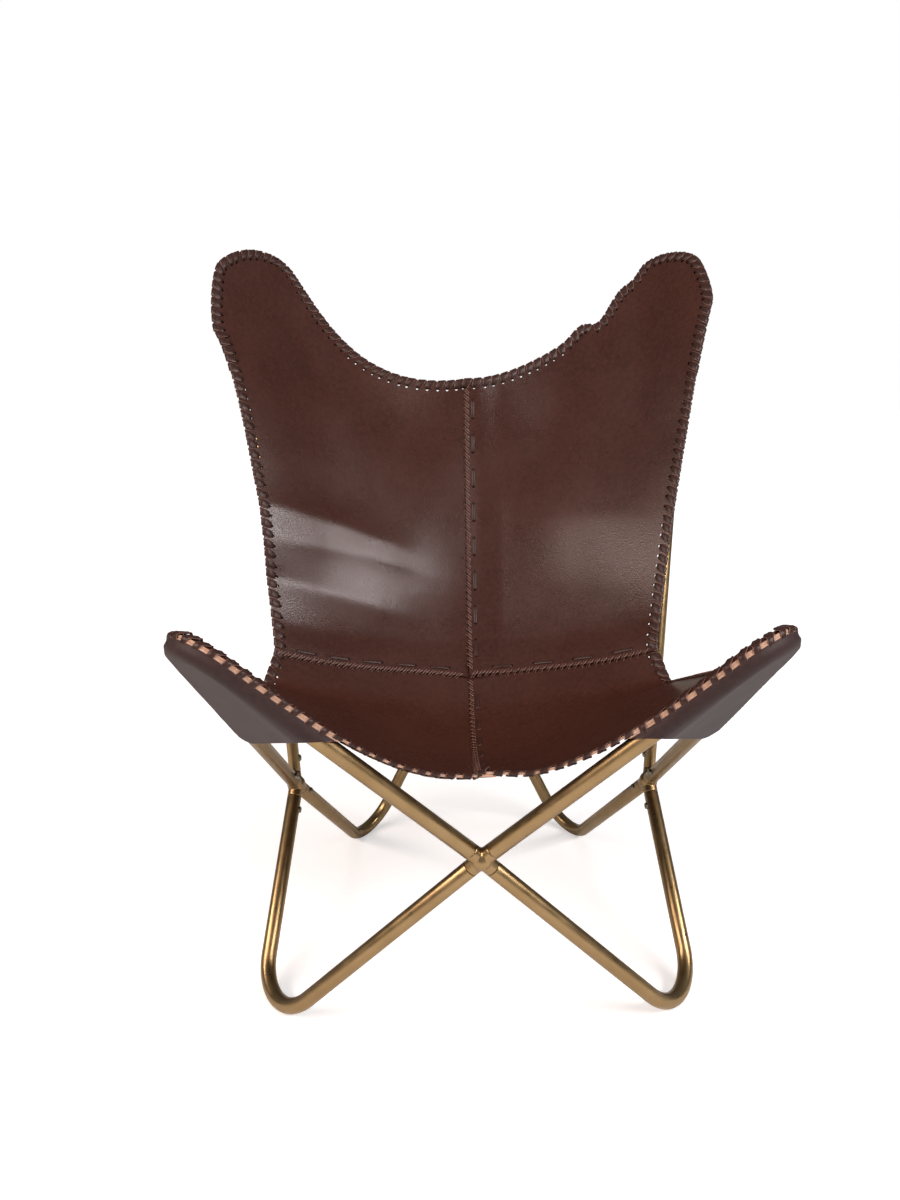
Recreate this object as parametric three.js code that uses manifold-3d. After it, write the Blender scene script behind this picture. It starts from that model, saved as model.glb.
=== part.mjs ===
// Butterfly sling chair: a knock-down frame of bent steel tube carries a laced leather sling.
// Millimetres, z up. The sitter faces -y. Points are given for the right half and mirrored.
import * as THREE from 'three';
import { mergeVertices } from 'three/addons/utils/BufferGeometryUtils.js';
import Module from 'manifold-3d';

const wasm = await Module();
wasm.setup();

const V = (x, y, z) => new THREE.Vector3(x, y, z);

// Frame: hub centres, and the corners where the two straight legs of each bent tube would meet.
// Each is given by its half span, its distance behind the front hub and its height over the floor.
const FRONT_HUB_HEIGHT = 242;
const SIDE_HUB_HALF_SPAN = 242;
const SIDE_HUB_BEHIND = 295;
const SIDE_HUB_HEIGHT = 203;
const FRONT_FOOT_HALF_SPAN = 271;
const FRONT_FOOT_BEHIND = 86;
const FRONT_FOOT_BELOW = 40;
const REAR_FOOT_HALF_SPAN = 174;
const REAR_FOOT_BEHIND = 587;
const REAR_FOOT_BELOW = 33;
const WING_HALF_SPAN = 311;
const WING_AHEAD = 94;
const WING_HEIGHT = 540;
const EAR_HALF_SPAN = 357;
const EAR_BEHIND = 650;
const EAR_HEIGHT = 1030;
const FRONT_HUB = V(0, 0, FRONT_HUB_HEIGHT);
const SIDE_HUB = V(SIDE_HUB_HALF_SPAN, SIDE_HUB_BEHIND, SIDE_HUB_HEIGHT);
const FRONT_FOOT = V(FRONT_FOOT_HALF_SPAN, FRONT_FOOT_BEHIND, -FRONT_FOOT_BELOW);
const REAR_FOOT = V(REAR_FOOT_HALF_SPAN, REAR_FOOT_BEHIND, -REAR_FOOT_BELOW);
const WING = V(WING_HALF_SPAN, -WING_AHEAD, WING_HEIGHT);
const EAR = V(EAR_HALF_SPAN, EAR_BEHIND, EAR_HEIGHT);

// Tube stock. The two loops behind the backrest are of thinner tube.
const TUBE_D = 19;
const EAR_TUBE_D = 16;
const WALL = 1.5;
const WING_BEND_R = 42;
const EAR_BEND_R = 36;
const FLOOR_FLAT = 0.8;

// Hubs: a ball with four stubs, and a spigot on each stub that plugs into a tube.
const HUB_BALL_R = 12.5;
const HUB_REACH = 17;
const REAR_HUB_REACH = 24;
const SPIGOT_L = 42;
const TUBE_END_GAP = 0.5;
const FIT = 0.3;

// Button-head screws that lock each tube on its spigot.
const SCREW_FROM_END = 18;
const SCREW_HEAD_D = 9;
const SCREW_HEAD_H = 2.6;
const SCREW_SHANK_D = 5;
const SCREW_SHANK_L = 9;
const SOCKET_D = 3.6;
const SOCKET_DEPTH = 1.4;
const HEAD_RIM = 0.4;
const HEAD_CROWN = 0.72;
const HOLE_SPARE = 1;

// Sling: leather thickness, gaps and lace.
const LEATHER = 3;
const POCKET_LEATHER = 2.4;
const SEAM_GAP = 0.8;
const EDGE_LACE_R = 2.6;
const SEAM_LACE_R = 1.8;
const SEAM_LACE_GAP = 0.7;
const STOP = 0.015;

// Sling outline: middle of the front edge, seat seam and top edge, and the waist at the side, which
// is given by its place up the ear loop's leg from the side hub and its offset from that leg.
const FRONT_MID = V(0, -8, 340);
const SEAM_MID = V(0, 425, 317);
const TOP_MID = V(0, 585, 741);
const WAIST_UP_LEG = 189.8;
const WAIST_OFF_LEG = V(-14.1, -24.3, 0);

// Ears of the sling: distance along a leg of the ear loop from its corner, and outward from it.
const EAR_SIDE_AT = { along: 199, out: 48 };
const EAR_CORNER_AT = { along: 139, out: 28 };
const EAR_INNER_AT = { along: 123, out: 6 };

// Air between the sling and the loops, and how far the leather reaches past the wing loop.
const EAR_AIR = 3;
const EAR_TURN = 3.5;
const WING_AIR = 2;
const WING_MARGIN = 2.5;

// Pockets: distance of the mouth from the tube corner along each leg, and the fit at rim and tube.
const WING_MOUTH = { a: 205, b: 305 };
const EAR_MOUTH = { a: 300, b: 320 };
const POCKET_INSET = 1.5;
const POCKET_SLACK = 1.7;
const POCKET_RIM_GAP = 0.8;

// Handles of the edge curves, each from the end of the curve that it bends.
const FRONT_HANDLE = V(60, -2, -2);
const SEAT_HANDLE = V(0, 138, -65);
const SEAM_HANDLE = V(90, 0, 0);
const SEAM_WAIST_HANDLE = V(-92, 33, -38);
const BACK_TOP_HANDLE = V(0, -23, -149);
const TOP_HANDLE = V(110, 0, 0);
const TOP_EAR_HANDLE = V(-70, -25, -86);
const EAR_INNER_HANDLE = V(18, -14, 16);
const EAR_TOP_HANDLE = V(-15, 20, 25);
const EAR_BACK_HANDLE = V(-43, -53, -130);
const EAR_SIDE_HANDLE = V(7, 10, 25);
const EAR_CORNER_HANDLE = V(11, -16, -11);
const SEAM_WAY = V(0, 0.7, 0.71);
const SEAM_PULL = { seat: 140, back: 110 };
const WAIST_WAY = V(0.08, 0.75, 0.65);
const WAIST_PULL = { seat: 60, back: 70 };
const WING_PULL = { front: 180, tip: 20, side: 110 };

// Facets.
const TUBE_SIDES = 12;
const SPIGOT_SIDES = 8;
const BEND_STEPS = 8;
const POCKET_BEND_STEPS = 8;
const WRAP_STEPS = 5;
const BALL_SIDES = 12;
const SCREW_SIDES = 8;
const LACE_SIDES = 6;
const RIM_STEPS = 120;

// Share of each panel edge before its rounded end, and the stations of the panel grid.
const MAIN = 0.86;
const STATIONS = [0, 0.11, 0.22, 0.33, 0.44, 0.55, 0.65, 0.75, 0.82, MAIN, 0.91, 0.955, 1];

const mirror = (p) => V(-p.x, p.y, p.z);
const toward = (p, dir, d) => p.clone().addScaledVector(dir, d);
const plus = (p, offset) => p.clone().add(offset);
const unit = (from, to) => to.clone().sub(from).normalize();

// The rear tubes run straight from foot through hub to the opposite ear, which fixes the rear hub.
const rearShare = REAR_FOOT.x / (REAR_FOOT.x + EAR.x);
const REAR_HUB = mirror(REAR_FOOT).lerp(EAR, rearShare);
const WAIST = plus(toward(SIDE_HUB, unit(SIDE_HUB, EAR), WAIST_UP_LEG), WAIST_OFF_LEG);

// Welds a geometry to shared corners, drops empty triangles and turns every face outward.
function weld(geometry) {
  const bare = new THREE.BufferGeometry();
  bare.setAttribute('position', geometry.getAttribute('position').clone());
  if (geometry.index) bare.setIndex(geometry.index.clone());
  const merged = mergeVertices(bare, 1e-3);
  const pos = merged.getAttribute('position');
  const index = [];
  let volume = 0;
  const [a, b, c] = [V(), V(), V()];
  for (let i = 0; i < merged.index.count; i += 3) {
    const t = [0, 1, 2].map((k) => merged.index.getX(i + k));
    if (t[0] === t[1] || t[1] === t[2] || t[0] === t[2]) continue;
    index.push(...t);
    a.fromBufferAttribute(pos, t[0]);
    b.fromBufferAttribute(pos, t[1]);
    c.fromBufferAttribute(pos, t[2]);
    volume += a.dot(b.cross(c));
  }
  if (volume < 0) {
    for (let i = 0; i < index.length; i += 3) [index[i], index[i + 1]] = [index[i + 1], index[i]];
  }
  merged.setIndex(index);
  return merged;
}

function solid(geometry) {
  const g = weld(geometry);
  const vertProperties = new Float32Array(g.getAttribute('position').array);
  const triVerts = new Uint32Array(g.index.array);
  return new wasm.Manifold(new wasm.Mesh({ numProp: 3, vertProperties, triVerts }));
}

function fromSolid(body) {
  const m = body.getMesh();
  const g = new THREE.BufferGeometry();
  g.setAttribute('position', new THREE.BufferAttribute(new Float32Array(m.vertProperties), 3));
  g.setIndex(Array.from(m.triVerts));
  return g;
}

function rod(from, dir, length, radius, sides) {
  const g = new THREE.CylinderGeometry(radius, radius, length, sides);
  g.translate(0, length / 2, 0);
  g.applyQuaternion(new THREE.Quaternion().setFromUnitVectors(V(0, 1, 0), dir));
  g.translate(from.x, from.y, from.z);
  return g;
}

// A curve that passes through given stations, one per extrusion step.
class StationCurve extends THREE.Curve {
  constructor(points, tangents) {
    super();
    this.points = points;
    this.tangents = tangents;
  }
  getUtoTmapping(u) {
    return u;
  }
  getPoint(t, target = V()) {
    const f = Math.min(Math.max(t, 0), 1) * (this.points.length - 1);
    const i = Math.min(Math.floor(f), this.points.length - 2);
    return target.copy(this.points[i]).lerp(this.points[i + 1], f - i);
  }
  getTangent(t, target = V()) {
    const i = Math.round(Math.min(Math.max(t, 0), 1) * (this.points.length - 1));
    return target.copy(this.tangents[i]);
  }
}

// Plane, bend centre and leg directions of a tube bent once at a corner between two hubs.
function bendFrame(hubA, corner, hubB, radius) {
  const a = unit(corner, hubA);
  const b = unit(corner, hubB);
  const half = a.angleTo(b) / 2;
  const bis = a.clone().add(b).normalize();
  const across = a.clone().sub(b).normalize();
  const centre = toward(corner, bis, radius / Math.sin(half));
  return { a, b, half, bis, across, centre, radius, corner, run: radius / Math.tan(half) };
}

// Bend radius that lets the bottom of a floor bend rest on z = 0.
function floorRadius(hubA, corner, hubB) {
  const { half, bis, a, b } = bendFrame(hubA, corner, hubB, 1);
  const normal = a.clone().cross(b).normalize();
  const fall = Math.sqrt(1 - normal.z * normal.z);
  return (TUBE_D / 2 - FLOOR_FLAT - corner.z) / (bis.z / Math.sin(half) - fall);
}

function tubePath(frame, hubA, reachA, hubB, reachB) {
  const { a, b, half, bis, across, centre, radius, corner, run } = frame;
  const points = [toward(hubA, a, -reachA), toward(corner, a, run)];
  const tangents = [a.clone().negate(), a.clone().negate()];
  const sweep = Math.PI / 2 - half;
  for (let i = 1; i < BEND_STEPS; i++) {
    const ang = sweep * (1 - (2 * i) / BEND_STEPS);
    const out = bis.clone().multiplyScalar(-Math.cos(ang)).addScaledVector(across, Math.sin(ang));
    const way = bis.clone().multiplyScalar(-Math.sin(ang)).addScaledVector(across, -Math.cos(ang));
    points.push(toward(centre, out, radius));
    tangents.push(way);
  }
  points.push(toward(corner, b, run), toward(hubB, b, -reachB));
  tangents.push(b.clone(), b.clone());
  return new StationCurve(points, tangents);
}

function tubeGeometry(path, diameter) {
  const ring = new THREE.Shape();
  ring.absarc(0, 0, diameter / 2, 0, Math.PI * 2, false);
  const bore = new THREE.Path();
  bore.absarc(0, 0, diameter / 2 - WALL, 0, Math.PI * 2, true);
  ring.holes.push(bore);
  const steps = path.points.length - 1;
  return new THREE.ExtrudeGeometry(ring, { steps, extrudePath: path, curveSegments: TUBE_SIDES / 2 });
}

// Screw seat on a tube end: the side that looks to the inside of the chair.
function screwSeat(hub, dir, reach, look) {
  const at = toward(hub, dir, reach + SCREW_FROM_END);
  const out = look.clone().addScaledVector(dir, -look.dot(dir)).normalize();
  return { at, out };
}

function screwGeometry(seat, tubeD) {
  const r = SCREW_HEAD_D / 2;
  const s = SCREW_SHANK_D / 2;
  const k = SOCKET_D / 2;
  const top = SCREW_HEAD_H;
  const floor = SCREW_HEAD_H - SOCKET_DEPTH;
  const profile = [
    [0, -SCREW_SHANK_L], [s, -SCREW_SHANK_L], [s, 0], [r, 0], [r, top * HEAD_RIM],
    [r * HEAD_CROWN, top], [k, top], [k, floor], [0, floor],
  ].map(([x, y]) => new THREE.Vector2(x, y));
  const g = new THREE.LatheGeometry(profile, SCREW_SIDES);
  g.applyQuaternion(new THREE.Quaternion().setFromUnitVectors(V(0, 1, 0), seat.out));
  const p = toward(seat.at, seat.out, tubeD / 2 + FIT);
  g.translate(p.x, p.y, p.z);
  return g;
}

function screwHole(seat, tubeD) {
  const from = toward(seat.at, seat.out, tubeD / 2 - SCREW_SHANK_L - HOLE_SPARE);
  const length = SCREW_SHANK_L + 2 * HOLE_SPARE + FIT;
  return solid(rod(from, seat.out, length, SCREW_SHANK_D / 2 + FIT, SCREW_SIDES));
}

// Frame pieces.
const steel = new THREE.MeshStandardMaterial({ color: 0xb08d57, roughness: 0.38, metalness: 0.85 });
const zinc = new THREE.MeshStandardMaterial({ color: 0x9a8350, roughness: 0.3, metalness: 0.95 });
const leather = new THREE.MeshStandardMaterial({ color: 0x4a2e26, roughness: 0.45, metalness: 0 });
const suede = new THREE.MeshStandardMaterial({ color: 0x5a4a44, roughness: 0.8, metalness: 0 });
const lace = new THREE.MeshStandardMaterial({ color: 0x2c1a14, roughness: 0.55, metalness: 0 });

const part = new THREE.Group();
part.name = 'butterfly_chair';

function add(name, geometry, material) {
  const g = weld(geometry).toNonIndexed();
  g.computeVertexNormals();
  const mesh = new THREE.Mesh(g, material);
  mesh.name = name;
  part.add(mesh);
  return mesh;
}

const inward = V(0, 1, 0);
const forward = V(0, -1, 0);
const hubs = {
  front: { at: FRONT_HUB, reach: HUB_REACH, look: inward, arms: [] },
  rear: { at: REAR_HUB, reach: REAR_HUB_REACH, look: forward, arms: [] },
  right: { at: SIDE_HUB, reach: HUB_REACH, look: V(-1, 0, 0), arms: [] },
  left: { at: mirror(SIDE_HUB), reach: HUB_REACH, look: V(1, 0, 0), arms: [] },
};

const frontFootR = floorRadius(FRONT_HUB, FRONT_FOOT, SIDE_HUB);
const rearFootR = floorRadius(REAR_HUB, REAR_FOOT, SIDE_HUB);
const belowFloor = new THREE.BoxGeometry(2000, 3000, 100);
belowFloor.translate(0, 0, -50);
const floorCut = solid(belowFloor);

function bentTube(name, hubName, corner, sideName, radius, diameter, onFloor) {
  const hub = hubs[hubName];
  const side = hubs[sideName];
  const frame = bendFrame(hub.at, corner, side.at, radius);
  const ends = [hub, side].map((h) => h.reach + TUBE_END_GAP);
  const path = tubePath(frame, hub.at, ends[0], side.at, ends[1]);
  let body = solid(tubeGeometry(path, diameter));
  [[hub, frame.a, hubName], [side, frame.b, sideName]].forEach(([h, leg, label]) => {
    const dir = leg.clone().negate();
    const seat = screwSeat(h.at, dir, h.reach, h.look);
    h.arms.push({ dir, diameter, seat });
    body = body.subtract(screwHole(seat, diameter));
    add(`screw_${label}_hub_${name}`, screwGeometry(seat, diameter), zinc);
  });
  if (onFloor) body = body.subtract(floorCut);
  add(`tube_${name}`, fromSolid(body), steel);
}

for (const side of ['left', 'right']) {
  const turn = side === 'left' ? mirror : (p) => p;
  bentTube(`front_leg_${side}`, 'front', turn(FRONT_FOOT), side, frontFootR, TUBE_D, true);
  bentTube(`rear_leg_${side}`, 'rear', turn(REAR_FOOT), side, rearFootR, TUBE_D, true);
  bentTube(`wing_loop_${side}`, 'front', turn(WING), side, WING_BEND_R, TUBE_D, false);
  bentTube(`ear_loop_${side}`, 'rear', turn(EAR), side, EAR_BEND_R, EAR_TUBE_D, false);
}

for (const [name, hub] of Object.entries(hubs)) {
  const ball = new THREE.SphereGeometry(HUB_BALL_R, BALL_SIDES, BALL_SIDES - 6);
  ball.translate(hub.at.x, hub.at.y, hub.at.z);
  let body = solid(ball);
  for (const { dir, diameter, seat } of hub.arms) {
    const boreR = (diameter / 2 - WALL) * Math.cos(Math.PI / TUBE_SIDES);
    const spigotR = boreR - FIT;
    body = body.add(solid(rod(hub.at, dir, hub.reach, diameter / 2, TUBE_SIDES)));
    body = body.add(solid(rod(hub.at, dir, hub.reach + SPIGOT_L, spigotR, SPIGOT_SIDES)));
    body = body.subtract(screwHole(seat, diameter));
  }
  add(`hub_${name}`, fromSolid(body), steel);
}

// The loops that carry the sling, and the side of each that the leather lies on.
const wing = bendFrame(FRONT_HUB, WING, SIDE_HUB, WING_BEND_R);
const wingUp = wing.across.clone().cross(wing.bis).normalize();
if (wingUp.z < 0) wingUp.negate();
const ear = bendFrame(REAR_HUB, EAR, SIDE_HUB, EAR_BEND_R);
const earUp = ear.across.clone().cross(ear.bis).normalize();
if (earUp.y > 0) earUp.negate();
const legOut = (leg, other) => other.clone().addScaledVector(leg, -other.dot(leg)).normalize().negate();

// Corners of the sling on the loops.
const wingMargin = TUBE_D / 2 + WING_MARGIN;
const wingLift = TUBE_D / 2 + LEATHER / 2 + WING_AIR;
const overWing = (p, out) => toward(toward(p, out, wingMargin), wingUp, wingLift);
const wingFront = overWing(toward(WING, wing.a, wing.run), legOut(wing.a, wing.b));
const wingSide = overWing(toward(WING, wing.b, wing.run), legOut(wing.b, wing.a));
const wingTip = overWing(toward(wing.centre, wing.bis, -WING_BEND_R), wing.bis.clone().negate());
const tipWay = wing.across.clone().negate();
const earLift = EAR_TUBE_D / 2 + LEATHER / 2 + EAR_AIR;
const overEar = ({ along, out }, leg, other, lift) => (
  toward(toward(toward(EAR, leg, along), legOut(leg, other), out), earUp, lift)
);
const earSide = overEar(EAR_SIDE_AT, ear.b, ear.a, earLift - EAR_TURN);
const earCorner = overEar(EAR_CORNER_AT, ear.b, ear.a, earLift - EAR_TURN);
const earInner = overEar(EAR_INNER_AT, ear.a, ear.b, earLift);

// Sling edges.
const waistWay = WAIST_WAY.clone().normalize();
const seamWay = SEAM_WAY.clone().normalize();

const cubic = (p0, p1, p2, p3) => new THREE.CubicBezierCurve3(p0, p1, p2, p3);
const joined = (first, second, share) => (t) => (
  t < share ? first.getPoint(t / share) : second.getPoint((t - share) / (1 - share))
);
const along = (curve) => (t) => curve.getPoint(t);

const tipIn = toward(wingTip, tipWay, -WING_PULL.tip);
const tipOut = toward(wingTip, tipWay, WING_PULL.tip);
const frontEdge = joined(
  cubic(FRONT_MID, plus(FRONT_MID, FRONT_HANDLE), toward(wingFront, wing.a, WING_PULL.front), wingFront),
  cubic(wingFront, toward(wingFront, wing.a, -WING_PULL.tip), tipIn, wingTip),
  MAIN,
);
const seatSide = joined(
  cubic(wingTip, tipOut, toward(wingSide, wing.b, -WING_PULL.tip), wingSide),
  cubic(wingSide, toward(wingSide, wing.b, WING_PULL.side), toward(WAIST, waistWay, -WAIST_PULL.seat), WAIST),
  1 - MAIN,
);
const seatMid = along(
  cubic(FRONT_MID, plus(FRONT_MID, SEAT_HANDLE), toward(SEAM_MID, seamWay, -SEAM_PULL.seat), SEAM_MID),
);
const seatSeam = along(
  cubic(SEAM_MID, plus(SEAM_MID, SEAM_HANDLE), plus(WAIST, SEAM_WAIST_HANDLE), WAIST),
);
const backMid = along(
  cubic(SEAM_MID, toward(SEAM_MID, seamWay, SEAM_PULL.back), plus(TOP_MID, BACK_TOP_HANDLE), TOP_MID),
);
const topEdge = joined(
  cubic(TOP_MID, plus(TOP_MID, TOP_HANDLE), plus(earInner, TOP_EAR_HANDLE), earInner),
  cubic(earInner, plus(earInner, EAR_INNER_HANDLE), plus(earCorner, EAR_TOP_HANDLE), earCorner),
  MAIN,
);
const backSide = joined(
  cubic(WAIST, toward(WAIST, waistWay, WAIST_PULL.back), plus(earSide, EAR_BACK_HANDLE), earSide),
  cubic(earSide, plus(earSide, EAR_SIDE_HANDLE), plus(earCorner, EAR_CORNER_HANDLE), earCorner),
  MAIN,
);

// Surface stretched between four edges that share their corners.
function coons(low, high, left, right) {
  const c00 = low(0);
  const c10 = low(1);
  const c01 = high(0);
  const c11 = high(1);
  return (u, v) => {
    const p = low(u).multiplyScalar(1 - v).addScaledVector(high(u), v);
    p.addScaledVector(left(v), 1 - u).addScaledVector(right(v), u);
    p.addScaledVector(c00, -(1 - u) * (1 - v)).addScaledVector(c10, -u * (1 - v));
    return p.addScaledVector(c01, -(1 - u) * v).addScaledVector(c11, -u * v);
  };
}

const seat = coons(frontEdge, seatSeam, seatMid, seatSide);
const back = coons(seatSeam, topEdge, backMid, backSide);

// Sitter-side normal of a surface, taken a little inside the rim where the edges run together.
function normalOf(surface, u, v) {
  const d = 0.02;
  const uu = Math.min(Math.max(u, d), 1 - 2 * d);
  const vv = Math.min(Math.max(v, d), 1 - 2 * d);
  const du = surface(uu + d, vv).sub(surface(uu - d, vv));
  const dv = surface(uu, vv + d).sub(surface(uu, vv - d));
  const n = du.cross(dv);
  if (u === 0) n.x = 0;
  return n.normalize();
}
const seamNormal = (u) => normalOf(seat, u, 1).add(normalOf(back, u, 0)).normalize();
const seatNormal = (u, v) => (v === 1 ? seamNormal(u) : normalOf(seat, u, v));
const backNormal = (u, v) => (v === 0 ? seamNormal(u) : normalOf(back, u, v));

// Closed sheet from a grid of points and normals; the rim joins the two faces.
function sheet(rows, normals, thickness) {
  const m = rows.length;
  const n = rows[0].length;
  const pos = [];
  for (const side of [0.5, -0.5]) {
    rows.forEach((row, i) => row.forEach((p, j) => {
      pos.push(...toward(p, normals[i][j], side * thickness).toArray());
    }));
  }
  const id = (i, j, face) => face * m * n + i * n + j;
  const index = [];
  const quad = (a, b, c, d) => index.push(a, b, c, a, c, d);
  for (let i = 0; i < m - 1; i++) {
    for (let j = 0; j < n - 1; j++) {
      quad(id(i, j, 0), id(i, j + 1, 0), id(i + 1, j + 1, 0), id(i + 1, j, 0));
      quad(id(i, j, 1), id(i + 1, j, 1), id(i + 1, j + 1, 1), id(i, j + 1, 1));
    }
  }
  for (let i = 0; i < m - 1; i++) {
    quad(id(i, 0, 0), id(i + 1, 0, 0), id(i + 1, 0, 1), id(i, 0, 1));
    quad(id(i, n - 1, 0), id(i, n - 1, 1), id(i + 1, n - 1, 1), id(i + 1, n - 1, 0));
  }
  for (let j = 0; j < n - 1; j++) {
    quad(id(0, j, 0), id(0, j, 1), id(0, j + 1, 1), id(0, j + 1, 0));
    quad(id(m - 1, j, 0), id(m - 1, j + 1, 0), id(m - 1, j + 1, 1), id(m - 1, j, 1));
  }
  const g = new THREE.BufferGeometry();
  g.setAttribute('position', new THREE.Float32BufferAttribute(pos, 3));
  g.setIndex(index);
  return g;
}

const seatStations = STATIONS.map((t) => 1 - t).reverse();
const backStations = STATIONS;

function panel(surface, normal, stations, fromV, toV) {
  const rows = stations.map((v) => STATIONS.map((u) => {
    const p = surface(u, fromV + (toV - fromV) * v);
    p.x += (SEAM_GAP / 2) * (1 - u);
    return p;
  }));
  const normals = stations.map((v) => STATIONS.map((u) => normal(u, v)));
  return sheet(rows, normals, LEATHER);
}

// Stations round a loop, from the pocket mouth on one leg over the bend to the mouth on the other.
function loopStations(frame, mouth) {
  const { a, b, half, bis, across, centre, radius, corner, run } = frame;
  const outA = legOut(a, b);
  const outB = legOut(b, a);
  const list = [mouth.a, (2 * mouth.a + run) / 3, (mouth.a + 2 * run) / 3].map((d) => (
    { at: toward(corner, a, d), way: a, out: outA }
  ));
  for (let i = 0; i <= POCKET_BEND_STEPS; i++) {
    const ang = (Math.PI / 2 - half) * (1 - (2 * i) / POCKET_BEND_STEPS);
    const out = bis.clone().multiplyScalar(-Math.cos(ang)).addScaledVector(across, Math.sin(ang));
    const way = bis.clone().multiplyScalar(Math.sin(ang)).addScaledVector(across, Math.cos(ang));
    list.push({ at: toward(centre, out, radius), way, out });
  }
  for (const d of [(mouth.b + 2 * run) / 3, (2 * mouth.b + run) / 3, mouth.b]) {
    list.push({ at: toward(corner, b, d), way: b, out: outB });
  }
  return list;
}

// Pocket skin: from the laced rim it wraps the outside of the loop and lies taut between its legs.
function pocket(rim, frame, mouth, up, tubeD) {
  const clear = tubeD / 2 + POCKET_SLACK + POCKET_LEATHER / 2;
  const rows = loopStations(frame, mouth).map(({ at, way, out }) => {
    const beside = rim.filter((p) => p.clone().sub(at).dot(out) > 0);
    const off = (p) => Math.abs(p.clone().sub(at).dot(way));
    const start = beside.reduce((best, p) => (off(p) < off(best) ? p : best));
    const x = start.clone().sub(at).dot(out);
    const y = start.clone().sub(at).dot(up);
    const from = Math.atan2(y, x) - Math.acos(Math.min(1, clear / Math.hypot(x, y)));
    const wrap = [start];
    for (let k = 0; k <= WRAP_STEPS; k++) {
      const ang = from + ((-Math.PI / 2 - from) * k) / WRAP_STEPS;
      wrap.push(toward(toward(at, out, clear * Math.cos(ang)), up, clear * Math.sin(ang)));
    }
    return wrap;
  });
  const first = rows[0].at(-1).clone();
  const last = rows.at(-1).at(-1).clone();
  rows.forEach((row, i) => {
    const lip = first.clone().lerp(last, (i + 0.5) / rows.length);
    row.push(row.at(-1).clone().lerp(lip, 0.5), lip);
  });
  const normals = rows.map((row, i) => row.map((p, j) => {
    const next = rows[Math.min(i + 1, rows.length - 1)][j].clone().sub(rows[Math.max(i - 1, 0)][j]);
    const across = row[Math.min(j + 1, row.length - 1)].clone().sub(row[Math.max(j - 1, 0)]);
    return next.cross(across).normalize();
  }));
  return sheet(rows, normals, POCKET_LEATHER);
}

const rimDepth = LEATHER / 2 + POCKET_RIM_GAP + POCKET_LEATHER / 2;

// Lace beads: along an edge just outside the leather, or along a seam just above it.
function bead(points, radius) {
  const last = points.length - 1;
  const tangents = points.map((p, i) => unit(points[Math.max(i - 1, 0)], points[Math.min(i + 1, last)]));
  const round = new THREE.Shape();
  round.absarc(0, 0, radius, 0, Math.PI * 2, false);
  const extrudePath = new StationCurve(points, tangents);
  return new THREE.ExtrudeGeometry(round, { steps: last, extrudePath, curveSegments: LACE_SIDES / 2 });
}

function edgeOut(edge, normal, t, sign) {
  const d = 0.004;
  const way = unit(edge(Math.max(t - d, 0)), edge(Math.min(t + d, 1)));
  return way.cross(normal).normalize().multiplyScalar(sign);
}
const edgePoint = (edge, n, t, sign) => toward(edge(t), edgeOut(edge, n, t, sign), FIT + EDGE_LACE_R);
const rimPoint = (edge, n, t, sign) => (
  toward(toward(edge(t), edgeOut(edge, n, t, sign), -POCKET_INSET), n, -rimDepth)
);

// The lace runs stop a little short of each other at the tips and at the crossing of the seams.
const shorten = (list, from, to) => list.map((t) => Math.min(Math.max(t, from), to));
const outerStations = shorten(STATIONS, 0, 1 - STOP);
const frontHalf = outerStations.map((t) => edgePoint(frontEdge, seatNormal(t, 0), t, 1));
const topHalf = outerStations.map((t) => edgePoint(topEdge, backNormal(t, 1), t, -1));
const sideRun = [
  ...shorten(seatStations, STOP, 1).map((t) => edgePoint(seatSide, seatNormal(1, t), t, 1)),
  ...outerStations.slice(1).map((t) => edgePoint(backSide, backNormal(1, t), t, 1)),
];
const wholeEdge = (half) => [...half.slice(1).reverse().map(mirror), ...half];
const overSeam = (p, n) => toward(p, n, LEATHER / 2 + SEAM_LACE_GAP + SEAM_LACE_R);
const seamStations = shorten(STATIONS, STOP, 1 - STOP);
const seamAcross = seamStations.map((u) => overSeam(seatSeam(u), seamNormal(u)));
const seamBack = seamStations.map((v) => overSeam(backMid(v), backNormal(0, v)));
const seamSeat = shorten(seatStations, STOP, 1 - STOP).map((v) => overSeam(seatMid(v), seatNormal(0, v)));

// Rims of the sling where the pockets are laced on.
const rimShares = Array.from({ length: RIM_STEPS + 1 }, (_, i) => i / RIM_STEPS);
const wingRim = [
  ...rimShares.map((t) => rimPoint(frontEdge, seatNormal(t, 0), t, 1)),
  ...rimShares.map((t) => rimPoint(seatSide, seatNormal(1, t), t, 1)),
];
const earRim = [
  ...rimShares.map((t) => rimPoint(topEdge, backNormal(t, 1), t, -1)),
  ...rimShares.map((t) => rimPoint(backSide, backNormal(1, t), t, 1)),
];
const flip = (geometry) => geometry.scale(-1, 1, 1);
const seatCut = SEAM_GAP / 2 / SEAM_MID.distanceTo(FRONT_MID);
const backCut = SEAM_GAP / 2 / SEAM_MID.distanceTo(TOP_MID);
for (const side of ['right', 'left']) {
  const turn = side === 'left' ? flip : (g) => g;
  add(`seat_panel_${side}`, turn(panel(seat, seatNormal, seatStations, 0, 1 - seatCut)), leather);
  add(`back_panel_${side}`, turn(panel(back, backNormal, backStations, backCut, 1)), leather);
  add(`wing_pocket_${side}`, turn(pocket(wingRim, wing, WING_MOUTH, wingUp, TUBE_D)), suede);
  add(`ear_pocket_${side}`, turn(pocket(earRim, ear, EAR_MOUTH, earUp, EAR_TUBE_D)), suede);
  add(`edge_lace_${side}`, turn(bead(sideRun, EDGE_LACE_R)), lace);
  add(`seam_lace_across_${side}`, turn(bead(seamAcross, SEAM_LACE_R)), lace);
}
add('edge_lace_front', bead(wholeEdge(frontHalf), EDGE_LACE_R), lace);
add('edge_lace_top', bead(wholeEdge(topHalf), EDGE_LACE_R), lace);
add('seam_lace_back', bead(seamBack, SEAM_LACE_R), lace);
add('seam_lace_seat', bead(seamSeat, SEAM_LACE_R), lace);

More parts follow.
